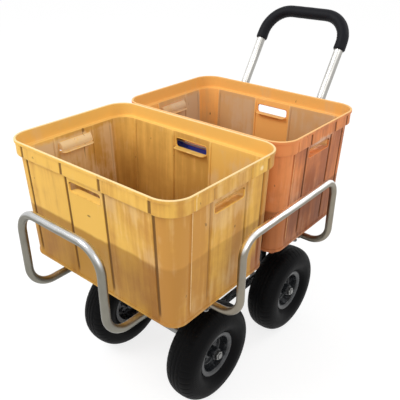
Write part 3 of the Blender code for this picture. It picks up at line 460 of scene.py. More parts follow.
def blueSheet():
    g = Graph("blue label film")
    place = g.place()
    cloud = g.noise(place, 45)
    head = float(deckFoot[2]) + label["head"]
    colour = g.mix(cloud, (0.04, 0.06, 0.42), (0.075, 0.105, 0.62))
    paleHead = g.between(g.axes(place)[2] + 0.002 * (cloud - 0.5), head - 0.0004, head + 0.0004)
    colour = g.mix(paleHead, colour, (0.5, 0.52, 0.6))
    return g.finish("orange_plastic", colour, 0.22 + 0.15 * cloud, 0, g.noise(place, 150, 2), 0.12, 0.0005)


plastics = {hue: cratePlastic(hue) for hue in ("yellow", "orange")}
# three copies of one tube metal with their own light tops and dark flanks: painted light, set by how strongly
# each group is lit
tubeMetal = drawnTube("brightly_lit", (0.27, 0.24, 0.19), (0.99, 0.99, 0.97))
guardMetal = drawnTube("dimly_lit", (0.23, 0.22, 0.185), (0.58, 0.585, 0.58))
handleMetal = drawnTube("well_lit", (0.42, 0.41, 0.385), (0.84, 0.825, 0.79))
blackSteel, zinc, blackPlastic = paintedSteel(), zincSteel(), mouldedPlastic()
rubber, foam, blueFilm = tyreRubber(), gripFoam(), blueSheet()
print("materials made")


# crates

crate = {"coreX": 0.205, "coreY": 0.1275, "wall": 0.003, "taper": 0.009, "wallTop": 0.0435, "skirtZ": 0.267,
         "ledgeZ": 0.27, "skirtOut": 0.0525, "rimOut": 0.055, "lip": 0.297, "height": 0.305, "flange": 0.008,
         "flangeStep": 0.002, "panelX": 0.06, "grooveWidth": 0.007, "grooveSlope": 0.0014,
         "grooveLand": 0.003, "grooveDepth": 0.003, "skirtGroove": 0.0019, "holeLow": 0.229,
         "holeHigh": 0.253, "holeHalf": 0.05, "holeRadius": 0.007, "sillDepths": (0.0175, 0.02),
         "stripThick": 0.002, "cowlDepth": 0.016, "cowlDrop": 0.0175, "footInset": 0.014, "footDrop": 0.0035}
# walls front, right, rear, left; five panels to a wall, left to right from outside, or one value for all;
# sill and cowl: tone, share of the inner colour, chalk
crateTones = {
    "yellow": {
        "scuff": 0.35,
        # the yellow crate's outer right wall is set darker in every panel: painted shade on the wall turned
        # from the light
        "outside": [(0.4, 0.2, 0.8, 0, -0.6), (-0.9, -0.5, -0.4, -0.1, -1.2), (0, 0.2, -0.3, 0.4, 0),
                    (0.1, 0.5, -0.2, 0.3, 0)],
        "inside": [(0, 0, 0.2, 0, 0), (0, -0.4, 0.2, -0.4, 0), (0.9, 0.4, -0.5, -0.2, -0.1),
                   (-0.8, -0.7, -0.3, 0.5, 0.6)],
        "darkBelow": [(1, 1, 1, 0.85, 0.35), (0.3, 0.35, 0.4, 0.6, 0.6), 0.45, 0.55],
        "groove": [1, (0.9, 0.6, 0.45, 0.5, 0.6), 1, 1],
        "chalk": [(0.1, 0, 0.1, 0.2, 0.1), (0.2, 0.1, 0.2, 0.3, 0.1), (0.7, 0.3, 0, 0, 0.1),
                  (0.2, 0.7, 0.8, 1, 0.8)],
        "sill": [(1, 0, 0), (-0.7, 0, 0.1), (0, 1, 0.1), (0.5, 1, 0.6)],
        "cowl": [None, (0, 1, 0.2), None, (0.9, 1, 0.9)]},
    "orange": {
        "scuff": 1.0,
        "outside": [(0.1, 0, 0.5, -0.2, 0.4), (1, -0.1, -0.4, -0.2, -0.3), (0.3, -0.2, 0.5, 0, 0.1),
                    (0, -0.3, 0.2, -0.5, 0.1)],
        "inside": [(0, 0.2, -0.4, 0.2, 0), (0, -0.5, 0.7, -0.5, 0), (-0.2, -1, 1, -1, 0.3),
                   (0.4, -1, -0.4, 1, 0.6)],
        "darkBelow": [0.8, 0.8, 0.4, 0.5],
        "groove": [1, 0.9, 1, 1],
        "chalk": [0.1, (0, 0.05, 0.1, 0.1, 0), (0, 0.4, 0, 0.5, 0), (0.2, 0.9, 0.7, 0.1, 0.1)],
        "sill": [(0.3, 0, 0), (0, 0, 0.3), (0.5, 1, 0), (0, 1, 0.6)],
        "cowl": [None, (0, 1, 0.2), None, (-0.6, 1, 0.8)]}}


def wallOut(z):  # how far the wall's outer face stands from the core, at a height
    return crate["wallTop"] - crate["taper"] * (1 - z / crate["skirtZ"])


def wallHalves(number):  # half the length of a wall's straight part, and how far its core stands out
    return (crate["coreX"], crate["coreY"])[::-1 if number % 2 else 1]


def quarterTurned(points, number):
    c, s = round(math.cos(number * tau / 4)), round(math.sin(number * tau / 4))
    turn = np.eye(points.shape[-1])
    turn[:2, :2] = (c, s), (-s, c)
    return points @ turn


def grooveMiddles(number):
    atCorner = wallHalves(number)[0] - crate["grooveWidth"] / 2 - crate["grooveLand"]
    return np.array([-atCorner, -crate["panelX"], crate["panelX"], atCorner])


def crateProfile():  # offset from the core and height: underside, outer wall, skirt, rim, inner wall, floor
    t, skirt, rim, lip, top = (crate[key] for key in ("wall", "skirtOut", "rimOut", "lip", "height"))
    step, ledge, flange = crate["skirtZ"], crate["ledgeZ"], crate["flange"]
    base = wallOut(0) + crate["flangeStep"]
    z = np.unique(np.round(np.append(np.linspace(0.03, 0.255, 26), (crate["holeLow"], crate["holeHigh"])), 6))
    wall = joined(wallOut(z), z)
    low = fillet([(t, 0), (base, 0), (base, flange), (wallOut(flange), flange), wall[0]],
                 np.array([1.2, 1.2, 1.5]) * mm)
    high = fillet([wall[-1], (wallOut(step), step), (skirt, step), (skirt, lip), (rim, lip), (rim, top),
                   (skirt - t, top), (skirt - t, ledge), (wallOut(ledge) - t, ledge), wall[-1] - (t, 0)],
                  np.array([1.5, 3, 0.8, 1, 2.3, 2.3, 3, 2.5]) * mm)
    floor = fillet([wall[0] - (t, 0), (wallOut(t) - t, t), (t, t)], [0.005])
    parts = [refine(low[:-1], 0.012), wall[:-1], refine(high[:-1], 0.009), wall[:0:-1] - (t, 0),
             refine(floor, 0.012)]
    return np.concatenate(parts), np.cumsum([0] + [len(part) for part in parts])


def crateStations():  # round the crate: core point, way outwards, place along the wall, wall number
    found = []
    offsets = np.outer((-1, 1), (0.9, 2.6, 3.7, 4.2, 4.7, 5.2)).ravel() * mm
    for number in range(4):
        halfRun, halfOut = wallHalves(number)
        run = np.concatenate([np.linspace(-halfRun, halfRun, 2 * round(halfRun / 0.0075) + 1),
                              (grooveMiddles(number)[:, None] + offsets).ravel(),
                              (-crate["holeHalf"], crate["holeHalf"])])
        run = np.unique(np.round(run[np.abs(run) <= halfRun], 5))
        bend = np.linspace(0, tau / 4, 15)[1:-1]
        turn, core = np.append(0 * run, bend), np.append(run, halfRun + 0 * bend)
        place = quarterTurned(joined(core, -halfOut), number)
        way = quarterTurned(joined(np.sin(turn), -np.cos(turn)), number)
        found.append(np.column_stack([place, way, core + 0.05 * turn, number + 0 * core]))
    return np.concatenate(found).T


def sillStrip(depth):  # section of a sill, as depth inwards and height: a flat bar with a rounded edge
    thick = crate["stripThick"]
    return roundedOutline(depth / 2, thick / 2, thick * 0.45, 3, depth / 5) + (depth / 2, crate["holeLow"])


def cowlStrip():  # section of a cowl: a quarter of an oval, from the hole's upper edge inwards and down
    turn, drop = np.linspace(0, tau / 4, 12), crate["cowlDrop"]
    depth, lowest = crate["cowlDepth"], crate["holeHigh"] - drop
    walls = (joined((depth - inset) * np.sin(turn), lowest + (drop + 0.001 - inset) * np.cos(turn))
             for inset in (0, crate["stripThick"]))
    return thereAndBack(*walls)


def addHoleTrim(skin, number, centre, tones):
    # bead that lines the hole: an oval section carried round the hole's outline
    half, low, high = crate["holeHalf"], crate["holeLow"], crate["holeHigh"]
    outline = roundedOutline(half, (high - low) / 2, crate["holeRadius"], 6, 0.006)
    (x, z), (outX, outZ), angle = outline.T, outwardOf(outline).T, ringAngles(12)[:, None]
    middleZ, stand = (low + high) / 2, crate["wall"] / 2 - wallHalves(number)[1]
    wide = 0.0004 + 0.0013 * np.cos(angle)
    beadY = stand - wallOut(middleZ) + 0.0021 * np.sin(angle)
    bead = joined(x + outX * wide, beadY, middleZ + z + outZ * wide)
    # painted shade: the bead's inner half along the hole's upper edge takes the dark x mark
    marks = joined(0.8 * smoothStep(z, 0.002, 0.010) * (wide < 0.0004), 0.4, 0.1)
    skin.grid(quarterTurned(bead, number) + centre, True, marks=marks)
    # sill: a shelf inwards from the hole's lower edge; cowl, short walls only: a hood from its upper edge
    # that curves in and down. Both are a strip carried along the wall, shallower at its two ends
    strips = [(sillStrip(crate["sillDepths"][number % 2]), tones["sill"][number])]
    if number % 2:
        strips.append((cowlStrip(), tones["cowl"][number]))
    run = np.linspace(-1, 1, 33)[:, None]
    for strip, (tone, inside, chalk) in strips:
        reach = strip[:, 0] * (1 - run ** 24)
        bar = joined(run * (half + 0.001), stand - wallOut(low) + reach, strip[:, 1])
        skin.grid(quarterTurned(bar, number) + centre, False, (0, -1), (0, tone, 0), (0, inside, chalk))


def addFoot(skin, centre):  # a ring with a grid of ribs under the floor
    halfX, halfY = (crate[key] + wallOut(0) - crate["footInset"] for key in ("coreX", "coreY"))
    outline = roundedOutline(halfX, halfY, 0.008, 5, 0.02)
    (x, y), (outX, outY) = outline.T, outwardOf(outline).T
    wide, high = roundedOutline(0.002, 0.0045, 0.0008, 2, 0.01).T[:, :, None]
    high, marks = high - crate["footDrop"], (0.35, -0.5, 0)
    skin.grid(joined(x + outX * wide, y + outY * wide, high) + centre, True, marks=marks)
    wide, high, end = 0.75 * wide[:, 0], high[:, 0], np.array([[-1], [1]])
    for bar in (joined(wide - halfX / 3, end * halfY, high), joined(wide + halfX / 3, end * halfY, high),
                joined(end * halfX, -wide, high)):
        skin.grid(bar + centre, caps=(0, -1), marks=marks)


def makeCrate(hue, where):
    node, tones = "crate_" + where, crateTones[hue]
    centre = np.array([0, middleOf(node)[1], deckFoot[2]])
    profile, starts = crateProfile()
    coreX, coreY, wayX, wayY, along, wallNumber = crateStations()
    wallNumber = wallNumber.astype(int)
    offset, z = profile[:, :1], profile[:, 1:]
    outside = (np.arange(len(profile)) < np.argmax(profile[:, 1] > crate["height"] - 0.0005))[:, None]
    middles = np.array([grooveMiddles(number) for number in range(4)])[wallNumber]
    distance = np.abs(along[:, None] - middles).min(1)
    grooveHalf, grooveDepth = crate["grooveWidth"] / 2, crate["grooveDepth"]
    groove = 1 - smoothStep(distance, grooveHalf - 0.0004, grooveHalf + crate["grooveSlope"])
    # the groove is as deep as its row says: it fades in over the base flange and ends under the rim's lip
    onSkirt = smoothStep(offset, 0.0445, 0.0500)
    deep = smoothStep(z, 0.009, 0.016) * (grooveDepth * (1 - onSkirt) + crate["skirtGroove"] * onSkirt)
    depth = np.where(outside, deep * (z < crate["lip"] - 0.0002),
                     grooveDepth * smoothStep(z, 0.0035, 0.010) * (1 - smoothStep(z, 0.262, 0.270)))
    reach = offset - depth * groove
    points = joined(coreX + wayX * reach, coreY + wayY * reach, z)

    panel = (along[:, None] > middles).sum(1)
    panelOutside, panelInside, panelDarkBelow, panelChalk, panelGroove = (
        np.array([np.broadcast_to(wall, 5) for wall in tones[key]])[wallNumber, panel]
        for key in ("outside", "inside", "darkBelow", "chalk", "groove"))
    tone = np.where(outside, panelOutside, panelInside)
    tone = np.where(outside & (z > crate["skirtZ"]), 0.7 * tone + 0.3, tone)
    upright = np.where(outside, smoothStep(z, 0.0, 0.004), smoothStep(z, 0.004, 0.030))
    # soiling and painted shade in the grooves
    soilAndShade = groove * panelGroove * outside * smoothStep(depth, 0.0005, 0.0018) * (1 - 0.15 * onSkirt)
    brightGroove = (wallNumber == 1) & (np.abs(along + middles[:, 3]) < 0.007)
    soilAndShade = np.where(outside & brightGroove, 0.12 * soilAndShade, soilAndShade)
    # painted shade under the skirt's overhang
    shadeUnderSkirt = bump(z, crate["skirtZ"], 0.0035) * outside * 0.30
    # soiling on the floor, with painted shade heaviest along the walls
    floorEdge = np.maximum(wallOut(0) - crate["wall"] - reach, 0)
    floorDirtAndShade = (~outside) * (z < 0.02) * (0.36 + 0.55 * np.exp(-floorEdge / 0.024))
    # painted shade in the creases beside the inner ribs
    ribCreaseShade = np.where(outside, 0, 0.38 * bump(distance, 0.0052, 0.0012) * (z < 0.26))
    soilAndShade = np.maximum(np.maximum(soilAndShade, shadeUnderSkirt), np.maximum(floorDirtAndShade, ribCreaseShade))
    # painted highlight on the ridge beside the right wall's first groove; the rim top takes the pale wear
    # colour, partly rubbed wear and partly a painted highlight
    farEdgeHighlight = bump(along, 0.0052 - middles[:, 3], 0.0011) * (wallNumber == 1)
    wear = np.maximum(bump(z, crate["height"], 0.0022) * 0.95, farEdgeHighlight * (outside & (z > 0.01)) * 0.75)
    marks = joined(soilAndShade, tone * upright, wear)
    # share of the darker band below the level line, per panel
    darkBelow = np.where(outside, panelDarkBelow * upright + 0.5 * (1 - upright), 0)
    chalk = np.where(outside & (wallNumber > 1), 0.25, 1) * panelChalk * (z < 0.2665) * upright
    scuff = bump(along, 0.005, 0.055) * (wallNumber == 1) * bump(z, 0.262, 0.013)
    chalk = np.maximum(chalk, scuff * outside * tones["scuff"])
    flow = joined(darkBelow, ~outside, chalk)

    # the hand holes: faces left out of both walls, and the two edges joined through the wall
    rows, columns = points.shape[:2]
    keep = np.ones((rows - 1, columns), bool)
    row, wallZ = np.arange(rows), np.round(profile[:, 1], 6)
    bands = [np.flatnonzero((wallZ >= crate["holeLow"]) & (wallZ <= crate["holeHigh"])
                            & (row >= starts[part]) & (row < starts[part + 1])) for part in (1, 3)]
    bands[1] = bands[1][::-1]
    tunnel = []
    for number in range(4):
        held = np.flatnonzero((wallNumber == number) & (np.abs(along) <= crate["holeHalf"] + 1e-6))
        for band in bands:
            keep[min(band):max(band), held[0]:held[-1]] = False
        outer, inner = (band[:, None] * columns + held for band in bands)
        for edge in ((0,), (-1,), (slice(None), 0), (slice(None), -1)):
            a, b = outer[edge], inner[edge]
            tunnel.append(joined(a[:-1], a[1:], b[1:], b[:-1]))
    skin = Skin().grid(points + centre, caps=(0, -1), marks=marks, flow=flow, keep=keep)
    skin.faces.extend(tunnel)
    for number in range(4):
        addHoleTrim(skin, number, centre, tones)
    addFoot(skin, centre)
    skin.piece(hue + "_crate", node, plastics[hue], where + "_crate", 30)


def makeLabel():  # a thin blank sheet that follows the wall's lean: offset from the core grows with height
    left, right, low, high, thick = (label[key] for key in ("left", "right", "low", "high", "thick"))
    outline = roundedOutline((right - left) / 2, (high - low) / 2, 0.004, 5, 0.004)
    x, z = outline[:, 0] + (left + right) / 2, outline[:, 1] + (low + high) / 2
    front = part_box("crate_rear")[0].y + crate["rimOut"] - wallOut(z)
    rows = [(front + 0.0003, 1), (front - thick, 1), (front - thick - 0.0001, 0.99)]
    midX, midZ = x.mean(), z.mean()
    sheet = np.array([joined(midX + (x - midX) * share, y, deckFoot[2] + midZ + (z - midZ) * share)
                      for y, share in rows])
    Skin().grid(sheet, caps=(0, -1)).piece("blank_label", None, blueFilm, "rear_crate")


makeCrate("yellow", "front")
makeCrate("orange", "rear")
makeLabel()
print("crates made")


# deck frame; seat is the radius at which a piece lies on a tube

tubes = {"radius": 0.0125, "bore": 0.011, "seat": 0.0127, "railX": 0.131, "railFront": 0.06, "railBack": 0.64,
         "railZ": -0.0208, "crossZ": -0.0488, "underZ": -0.0768, "crossY": (0.187, 0.591), "crossHalf": 0.200,
         "underX": 0.085, "underFront": 0.150, "underBack": 0.628}
# profiles of turned parts are radius, height in mm
clamp = {"setback": 0.016, "nutHeight": 0.006, "flats": 0.013, "stand": 0.005, "shank": 0.0029,
         "tip": -0.0098, "nut": [(3.1, -6), (4, -6.2), (5.8, -6), (7.5, -5), (7.5, 1.5), (3.1, 1.5)],
         "head": [(0.05, -5), (5.2, -5), (6.6, -4.3), (7.6, -3.7), (7.6, -0.3), (6.4, 0), (3.1, 0)],
         "thread": (0.001, 0.00045)}
plug = [(0.05, 2.8), (6, 2.7), (10.5, 2.1), (12.4, 0.9), (12.4, 0.3), (10.7, 0.3), (10.4, -4), (10.7, -5),
        (10.4, -6), (10.7, -7), (10, -12), (0.05, -12)]


def inMm(profile):
    return np.array(profile, float) * mm


def addClampNut(skin, place):  # hexagon nut under a tube, with its weld
    r, angle = tubes["radius"], ringAngles(36)
    skin.lathe(inMm(clamp["nut"]), place - (0, 0, r), sides=48, flats=clamp["flats"])
    skin.weld(place + joined(0.0068 * np.cos(angle), 0.0068 * np.sin(angle), 0.0008 - r), 0.0011)


def makeClampBolt(name, place):
    head, tip = -tubes["radius"] - clamp["nutHeight"] - clamp["stand"], clamp["tip"]
    shank = np.linspace(head, tip, 70)
    profile = [*inMm(clamp["head"]) + (0, head), *joined(clamp["shank"], shank), (0.05 * mm, tip)]
    skin = Skin().lathe(profile, place, (0, 0, 1), 36, clamp["flats"], (head, tip, *clamp["thread"]))
    skin.piece(name + "_threaded", name, zinc)


def makeTube(name, node, start, end, nuts=()):  # straight tube between two deck places, with its clamp nuts
    skin = Skin().tube(refine(np.array([deck(*start), deck(*end)]), 0.05), tubes)
    for place in nuts:
        addClampNut(skin, place)
    skin.piece(name, node, tubeMetal)


for side, sign in sideSigns.items():
    x, z, front = sign * tubes["railX"], tubes["railZ"], tubes["railFront"]
    place = deck(x, front + clamp["setback"], z)
    makeTube(side + "_rail_tube", "rail_" + side, (x, front, z), (x, tubes["railBack"], z), [place])
    makeClampBolt("front_clamp_bolt_" + side, place)
    x, z, front, back = sign * tubes["underX"], tubes["underZ"], tubes["underFront"], tubes["underBack"]
    makeTube(side + "_under_rail_tube", "under_rail_" + side, (x, front, z), (x, back, z))
    for where, y, way in (("front", front, -1), ("rear", back, 1)):
        node = "under_rail_plug_" + where + "_" + side
        Skin().lathe(inMm(plug), deck(x, y, z), (0, way, 0)).piece(node + "_cap", node, blackPlastic)

for where, y in zip(("front", "rear"), tubes["crossY"]):
    x, z = tubes["crossHalf"], tubes["crossZ"]
    places = {side: deck(sign * (x - clamp["setback"]), y, z) for side, sign in sideSigns.items()}
    for side, place in places.items():
        makeClampBolt("side_clamp_bolt_" + where + "_" + side, place)
    makeTube(where + "_cross_tube", "cross_tube_" + where, (-x, y, z), (x, y, z), places.values())


def makeSaddle(node, across):
    # rounded block; its top is the lower of a flat and a tube's underside, 0.014 - sqrt(R^2 - u^2), and its
    # underside the same for the other tube, at right angles
    outline = roundedOutline(0.0168, 0.0168, 0.004, 6, 0.002)
    shares = np.append(np.linspace(0.02, 0.94, 14), (0.975, 1.0))[:, None, None]
    flat = outline * shares
    tube = 0.014 - np.sqrt(np.maximum(tubes["seat"] ** 2 - flat ** 2, 0))
    hollow = np.minimum(0.0074, tube) - 0.0008 * smoothStep(shares, 0.95, 1.0)
    u, v = (0, 1) if across else (1, 0)
    block = thereAndBack(*(np.dstack([flat, up * hollow[..., axis]]) for up, axis in ((1, u), (-1, v))))
    Skin().grid(block + middleOf(node), caps=(0, -1)).piece(node + "_casting", node, blackSteel, sharp=30)


for where in ("front", "rear"):
    for side in sideSigns:
        makeSaddle("rail_saddle_" + where + "_" + side, True)
        makeSaddle("under_saddle_" + where + "_" + side, False)
print("deck frame made")


# guards

guards = {"radius": 0.0095, "bore": 0.008, "frontY": -0.065, "frontTop": 0.1912, "frontFoot": 0.058,
          "frontBend": 0.057, "frontEnd": 0.210, "sideX": 0.2815, "sideTop": 0.1522, "sideFoot": 0.053,
          "sideBend": 0.046, "sideEnd": 0.090}


def makeGuard(where, node, corners, finish):  # a thin tube through deck corners: two feet and two top bends
    kind = "front" if where == "front" else "side"
    foot, bend = guards[kind + "Foot"], guards[kind + "Bend"]
    path = refine(fillet([deck(*corner) for corner in corners], [foot, bend, bend, foot], 14), 0.05)
    Skin().tube(path, guards, 36).piece(where + "_guard_tube", node, finish, where + "_guard_frame")


x, y, z, top, end = tubes["railX"], guards["frontY"], tubes["railZ"], guards["frontTop"], guards["frontEnd"]
corners = [(-x, end, z), (-x, y, z), (-x, y, top), (x, y, top), (x, y, z), (x, end, z)]
makeGuard("front", "front_guard", corners, guardMetal)
for side, sign in sideSigns.items():
    x, end, z, top = sign * guards["sideX"], sign * guards["sideEnd"], tubes["crossZ"], guards["sideTop"]
    near, far = tubes["crossY"]
    corners = [(end, near, z), (x, near, z), (x, near, top), (x, far, top), (x, far, z), (end, far, z)]
    makeGuard(side, "side_guard_" + side, corners, tubeMetal)
print("guards made")


# handle

handle = {"y": 0.7525, "kinkZ": 0.2825, "lean": math.radians(32.2), "topZ": 0.498, "foot": 0.05, "kink": 0.1,
          "bend": 0.075, "gripRadius": 0.017, "gripCore": 0.0128, "gripZ": 0.416, "start": 0.6403,
          "braceRadius": 0.011, "braceWall": 0.0015, "boltY": 0.6628, "boltFlats": 0.010}
handle["topY"] = handle["y"] + (handle["topZ"] - handle["kinkZ"]) * math.tan(handle["lean"])
jointBolt = [(0.05, 16.2), (4.2, 16.2), (5.1, 15.7), (5.8, 15), (5.8, 13), (5, 12.8), (2.4, 12.8),
             (2.4, -12.8), (5, -12.8), (5.8, -13.1), (5.8, -15), (5, -16), (2.6, -16.2), (2.2, -16.2),
             (0.05, -16.2)]


def bowPath(steps):
    x, y, z = tubes["railX"], handle["y"], tubes["railZ"]
    half = [(handle["start"], z), (y, z), (y, handle["kinkZ"]), (handle["topY"], handle["topZ"])]
    corners = [deck(-x, *point) for point in half] + [deck(x, *point) for point in half[::-1]]
    bends = [handle["foot"], handle["kink"], handle["bend"]]
    return refine(fillet(corners, bends + bends[::-1], steps), 0.03)


def makeGrip():
    # sleeve whose radius swells a little at its ends and ripples where the bow bends:
    # r = R (1 + ripple x bend x inner side) with rounded ends
    sides, core = 48, handle["gripCore"]
    path = refine(bowPath(40), 0.004)
    path = path[path[:, 2] > deckFoot[2] + handle["gripZ"]]
    arms = sweepArms(path, sides)
    run = runAlong(path)
    bend = np.gradient(unit(np.gradient(path, axis=0)), axis=0) / np.gradient(run)[:, None]
    inner = np.clip(np.einsum("ijk,ik->ij", arms, bend) * handle["bend"], -1, 1)
    edge = np.clip(np.minimum(run, run[-1] - run) / 0.004, 0, 1)[:, None]
    radius = core + (handle["gripRadius"] - core - 0.0002) * (0.45 + 0.55 * np.sqrt(edge * (2 - edge)))
    place = run[:, None]
    ripple = 0.00035 * np.sin(place * tau / 0.011) * np.clip(inner, 0, 1) - 0.0003 * np.clip(-inner, 0, 1)
    lumps = 0.00012 * np.sin(place * 91 + 3 * np.sin(place * 37))
    outer, inner = (path[:, None] + arms * r for r in ((radius + ripple + lumps)[..., None], tubes["seat"]))
    flow = tubeFlow(path, sides, handle["gripRadius"])
    skin = Skin().grid(thereAndBack(outer, inner), True, flow=thereAndBack(flow, flow))
    skin.piece("handle_grip_sleeve", "handle_grip", foam)


def makeBrace():  # its ends are coped: x = leg - sqrt(R^2 - q^2), q the distance from the leg's line
    centre, angle, lean = middleOf("handle_brace"), ringAngles(40), handle["lean"] / 2
    outer, seat = handle["braceRadius"], tubes["seat"]

    def ring(r, share):  # share of the way from the middle of the tube to its end
        y, z = r * np.cos(angle), r * np.sin(angle)
        q = y * math.cos(lean) - z * math.sin(lean)
        end = tubes["railX"] - np.sqrt(seat ** 2 - np.minimum(q ** 2, (seat - 0.0001) ** 2))
        return joined(share * end, y, z)

    share = np.linspace(-1, 1, 9)[:, None]
    tube = thereAndBack(ring(outer, share), ring(outer - handle["braceWall"], share))
    away = np.array([0, *centre[1:]])
    skin = Skin().grid(tube + away, True, flow=thereAndBack(tube[:9], tube[:9]))
    for sign in (-1, 1):
        skin.weld(ring(outer + 0.0002, sign) + away, 0.0012)
    skin.piece("handle_cross_tube", "handle_brace", tubeMetal)


Skin().tube(bowPath(16), tubes).piece("handle_bow_tube", "handle_bow", handleMetal)
makeGrip()
makeBrace()
for side, sign in sideSigns.items():
    node = "joint_bolt_" + side
    place = deck(sign * tubes["railX"], handle["boltY"], tubes["railZ"])
    skin = Skin().lathe(inMm(jointBolt), place, (sign, 0, 0), 48, handle["boltFlats"])
    skin.piece(node + "_hexagon", node, zinc)
print("handle made")


# undercarriage

under = {"axleZ": -0.248, "axleY": (0.232, 0.581), "stayHalf": 0.016, "stayThick": 0.005, "stayX": 0.0697,
         "axleRadius": 0.009, "archRadius": 0.0096, "spindleRadius": 0.0075, "shoulder": 0.1297,
         "end": 0.1987,
         "nutFlats": 0.0219}
axleNut = [(7.9, 0), (11.6, 0), (12.8, 0.7), (12.8, 7.2), (11.2, 8), (10, 8.9), (7.9, 8.9), (7.9, 0)]


def makePost(node, x, y):
    # tube whose top is cut to the under rail, zTop = railZ - sqrt(R^2 - dx^2), and whose foot arches over the
    # axle, zFoot = axleZ + sqrt(r^2 - dy^2)
    angle, seat, place = ringAngles(48), tubes["seat"], deck(x, y, 0)
    share = np.linspace(0, 1, 13)[:, None]
    rows = []
    for r in (tubes["radius"], tubes["bore"]):
        dx, dy = r * np.cos(angle), r * np.sin(angle)
        top = tubes["underZ"] - np.sqrt(seat ** 2 - dx ** 2)
        arch = np.sqrt(np.maximum(under["archRadius"] ** 2 - dy ** 2, 0))
        foot = under["axleZ"] + np.where(arch > 0, arch, -0.003)
        rows.append(joined(dx, dy, foot + (top - foot) * share))
    dx, dy = seat * np.cos(angle), seat * np.sin(angle)
    ring = joined(dx, dy, tubes["underZ"] - np.sqrt((seat + 0.0005) ** 2 - dx ** 2))
    skin = Skin().grid(thereAndBack(*rows) + place, True).weld(ring + place, 0.0013)
    skin.piece(node + "_tube", node, blackSteel)


def makeStay(node, x):  # flat bar with round ends; the edge is broken by a small quarter round
    (near, far), h = under["axleY"], under["stayHalf"]
    along, high = roundedOutline((far - near) / 2 + h, h, h * 0.999, 14, 0.01).T
    depth, inset = np.array([(-0.5, -0.5, -0.44, 0.44, 0.5, 0.5), (0.9, 0.955, 1, 1, 0.955, 0.9)])[:, :, None]
    bar = joined(depth * under["stayThick"], along - np.sign(along) * (1 - inset) * h, high * inset)
    marks = np.zeros(bar.shape)
    marks[2:4, :, 2] = 0.35
    skin = Skin().grid(bar + deck(x, (near + far) / 2, under["axleZ"]), caps=(0, -1), marks=marks)
    skin.piece(node + "_bar", node, blackSteel)


def makeAxle(node, y):
    r, spindle, shoulder, end = (under[key] for key in ("axleRadius", "spindleRadius", "shoulder", "end"))
    corners = [(r, 0), (r, shoulder), (spindle, shoulder), (spindle, end), (0.05 * mm, end)]
    half = refine(fillet(corners, [0.0004, 0.0003, 0.0012], 3), 0.004)
    profile = np.concatenate([half[::-1], half[1:] * (1, -1)])
    Skin().lathe(profile, deck(0, y, under["axleZ"]), (1, 0, 0)).piece(node + "_bar", node, zinc)


for where, y in zip(("front", "rear"), under["axleY"]):
    makeAxle("axle_" + where, y)
    for side, sign in sideSigns.items():
        makePost("axle_post_" + where + "_" + side, sign * tubes["underX"], y)
        node = "axle_nut_" + where + "_" + side
        place = middleOf(node)
        place[0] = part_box(node)[0 if sign > 0 else 1].x
        profile = inMm(fillet(axleNut, [0.2, 0.3, 0.3, 0.4, 0.4, 0.3], 2)[:-1])
        skin = Skin().lathe(profile, place, (sign, 0, 0), 60, under["nutFlats"])
        skin.piece(node + "_hexagon", node, zinc)
for side, sign in sideSigns.items():
    makeStay("lower_stay_" + side, sign * under["stayX"])
print("undercarriage made")


# wheels; sections are half width, radius in mm

wheel = {"bars": 44, "columns": 440, "grooveDepth": 0.0013, "slotDepth": 0.0009, "tyreHalfWidth": 0.045,
         "nutCircle": 0.0265, "nutStand": 0.0066, "nutFlats": 0.010, "valve": (0.017, 0.0305)}
tyreOutside = [(28.2, 52.8), (28.2, 60), (29.2, 64), (34.5, 68.5), (41, 76.5), (44.6, 87), (44.9, 96),
               (43.2, 106.5), (39.2, 115.5), (33, 122.5), (24.5, 128), (12.5, 131.2), (0, 132)]
tyreInside = [(0, 121.5), (24, 117), (35, 104), (36.5, 90), (29, 74), (19.5, 62), (18.2, 56)]
rimHalf = [(27, 12.6), (27, 15.5), (4, 15.8), (6.8, 23), (6.8, 30), (3.2, 37.2), (3.4, 43.8), (15, 46.2),
           (27.8, 49), (30, 53.5), (30.9, 60.6), (30, 61.9), (28.7, 60.8), (28.5, 51.7), (17.5, 50.6),
            (9, 47),
           (0, 46.6)]
rimBends = [0.4, 0.6, 2, 3, 4, 3, 2, 4, 2, 3, 0.6, 0.5, 0.8, 1, 4]
discNut = [(0.05, 5.2), (2.2, 5.2), (2.6, 5), (2.6, 4.2), (4, 4.2), (5.6, 3.4), (5.6, 0), (0.05, 0)]
valve = [(0.05, 0), (2.4, 0), (2.6, -0.6), (2.6, -5), (3, -5.6), (3, -6.8), (2.2, -7.4), (2.4, -11),
         (3.8, -15),
         (4, -19), (0.05, -19)]
bush = [(8, -27), (12, -27), (12, 27.3), (15, 27.3), (15, 29.8), (8, 29.8), (8, -27)]


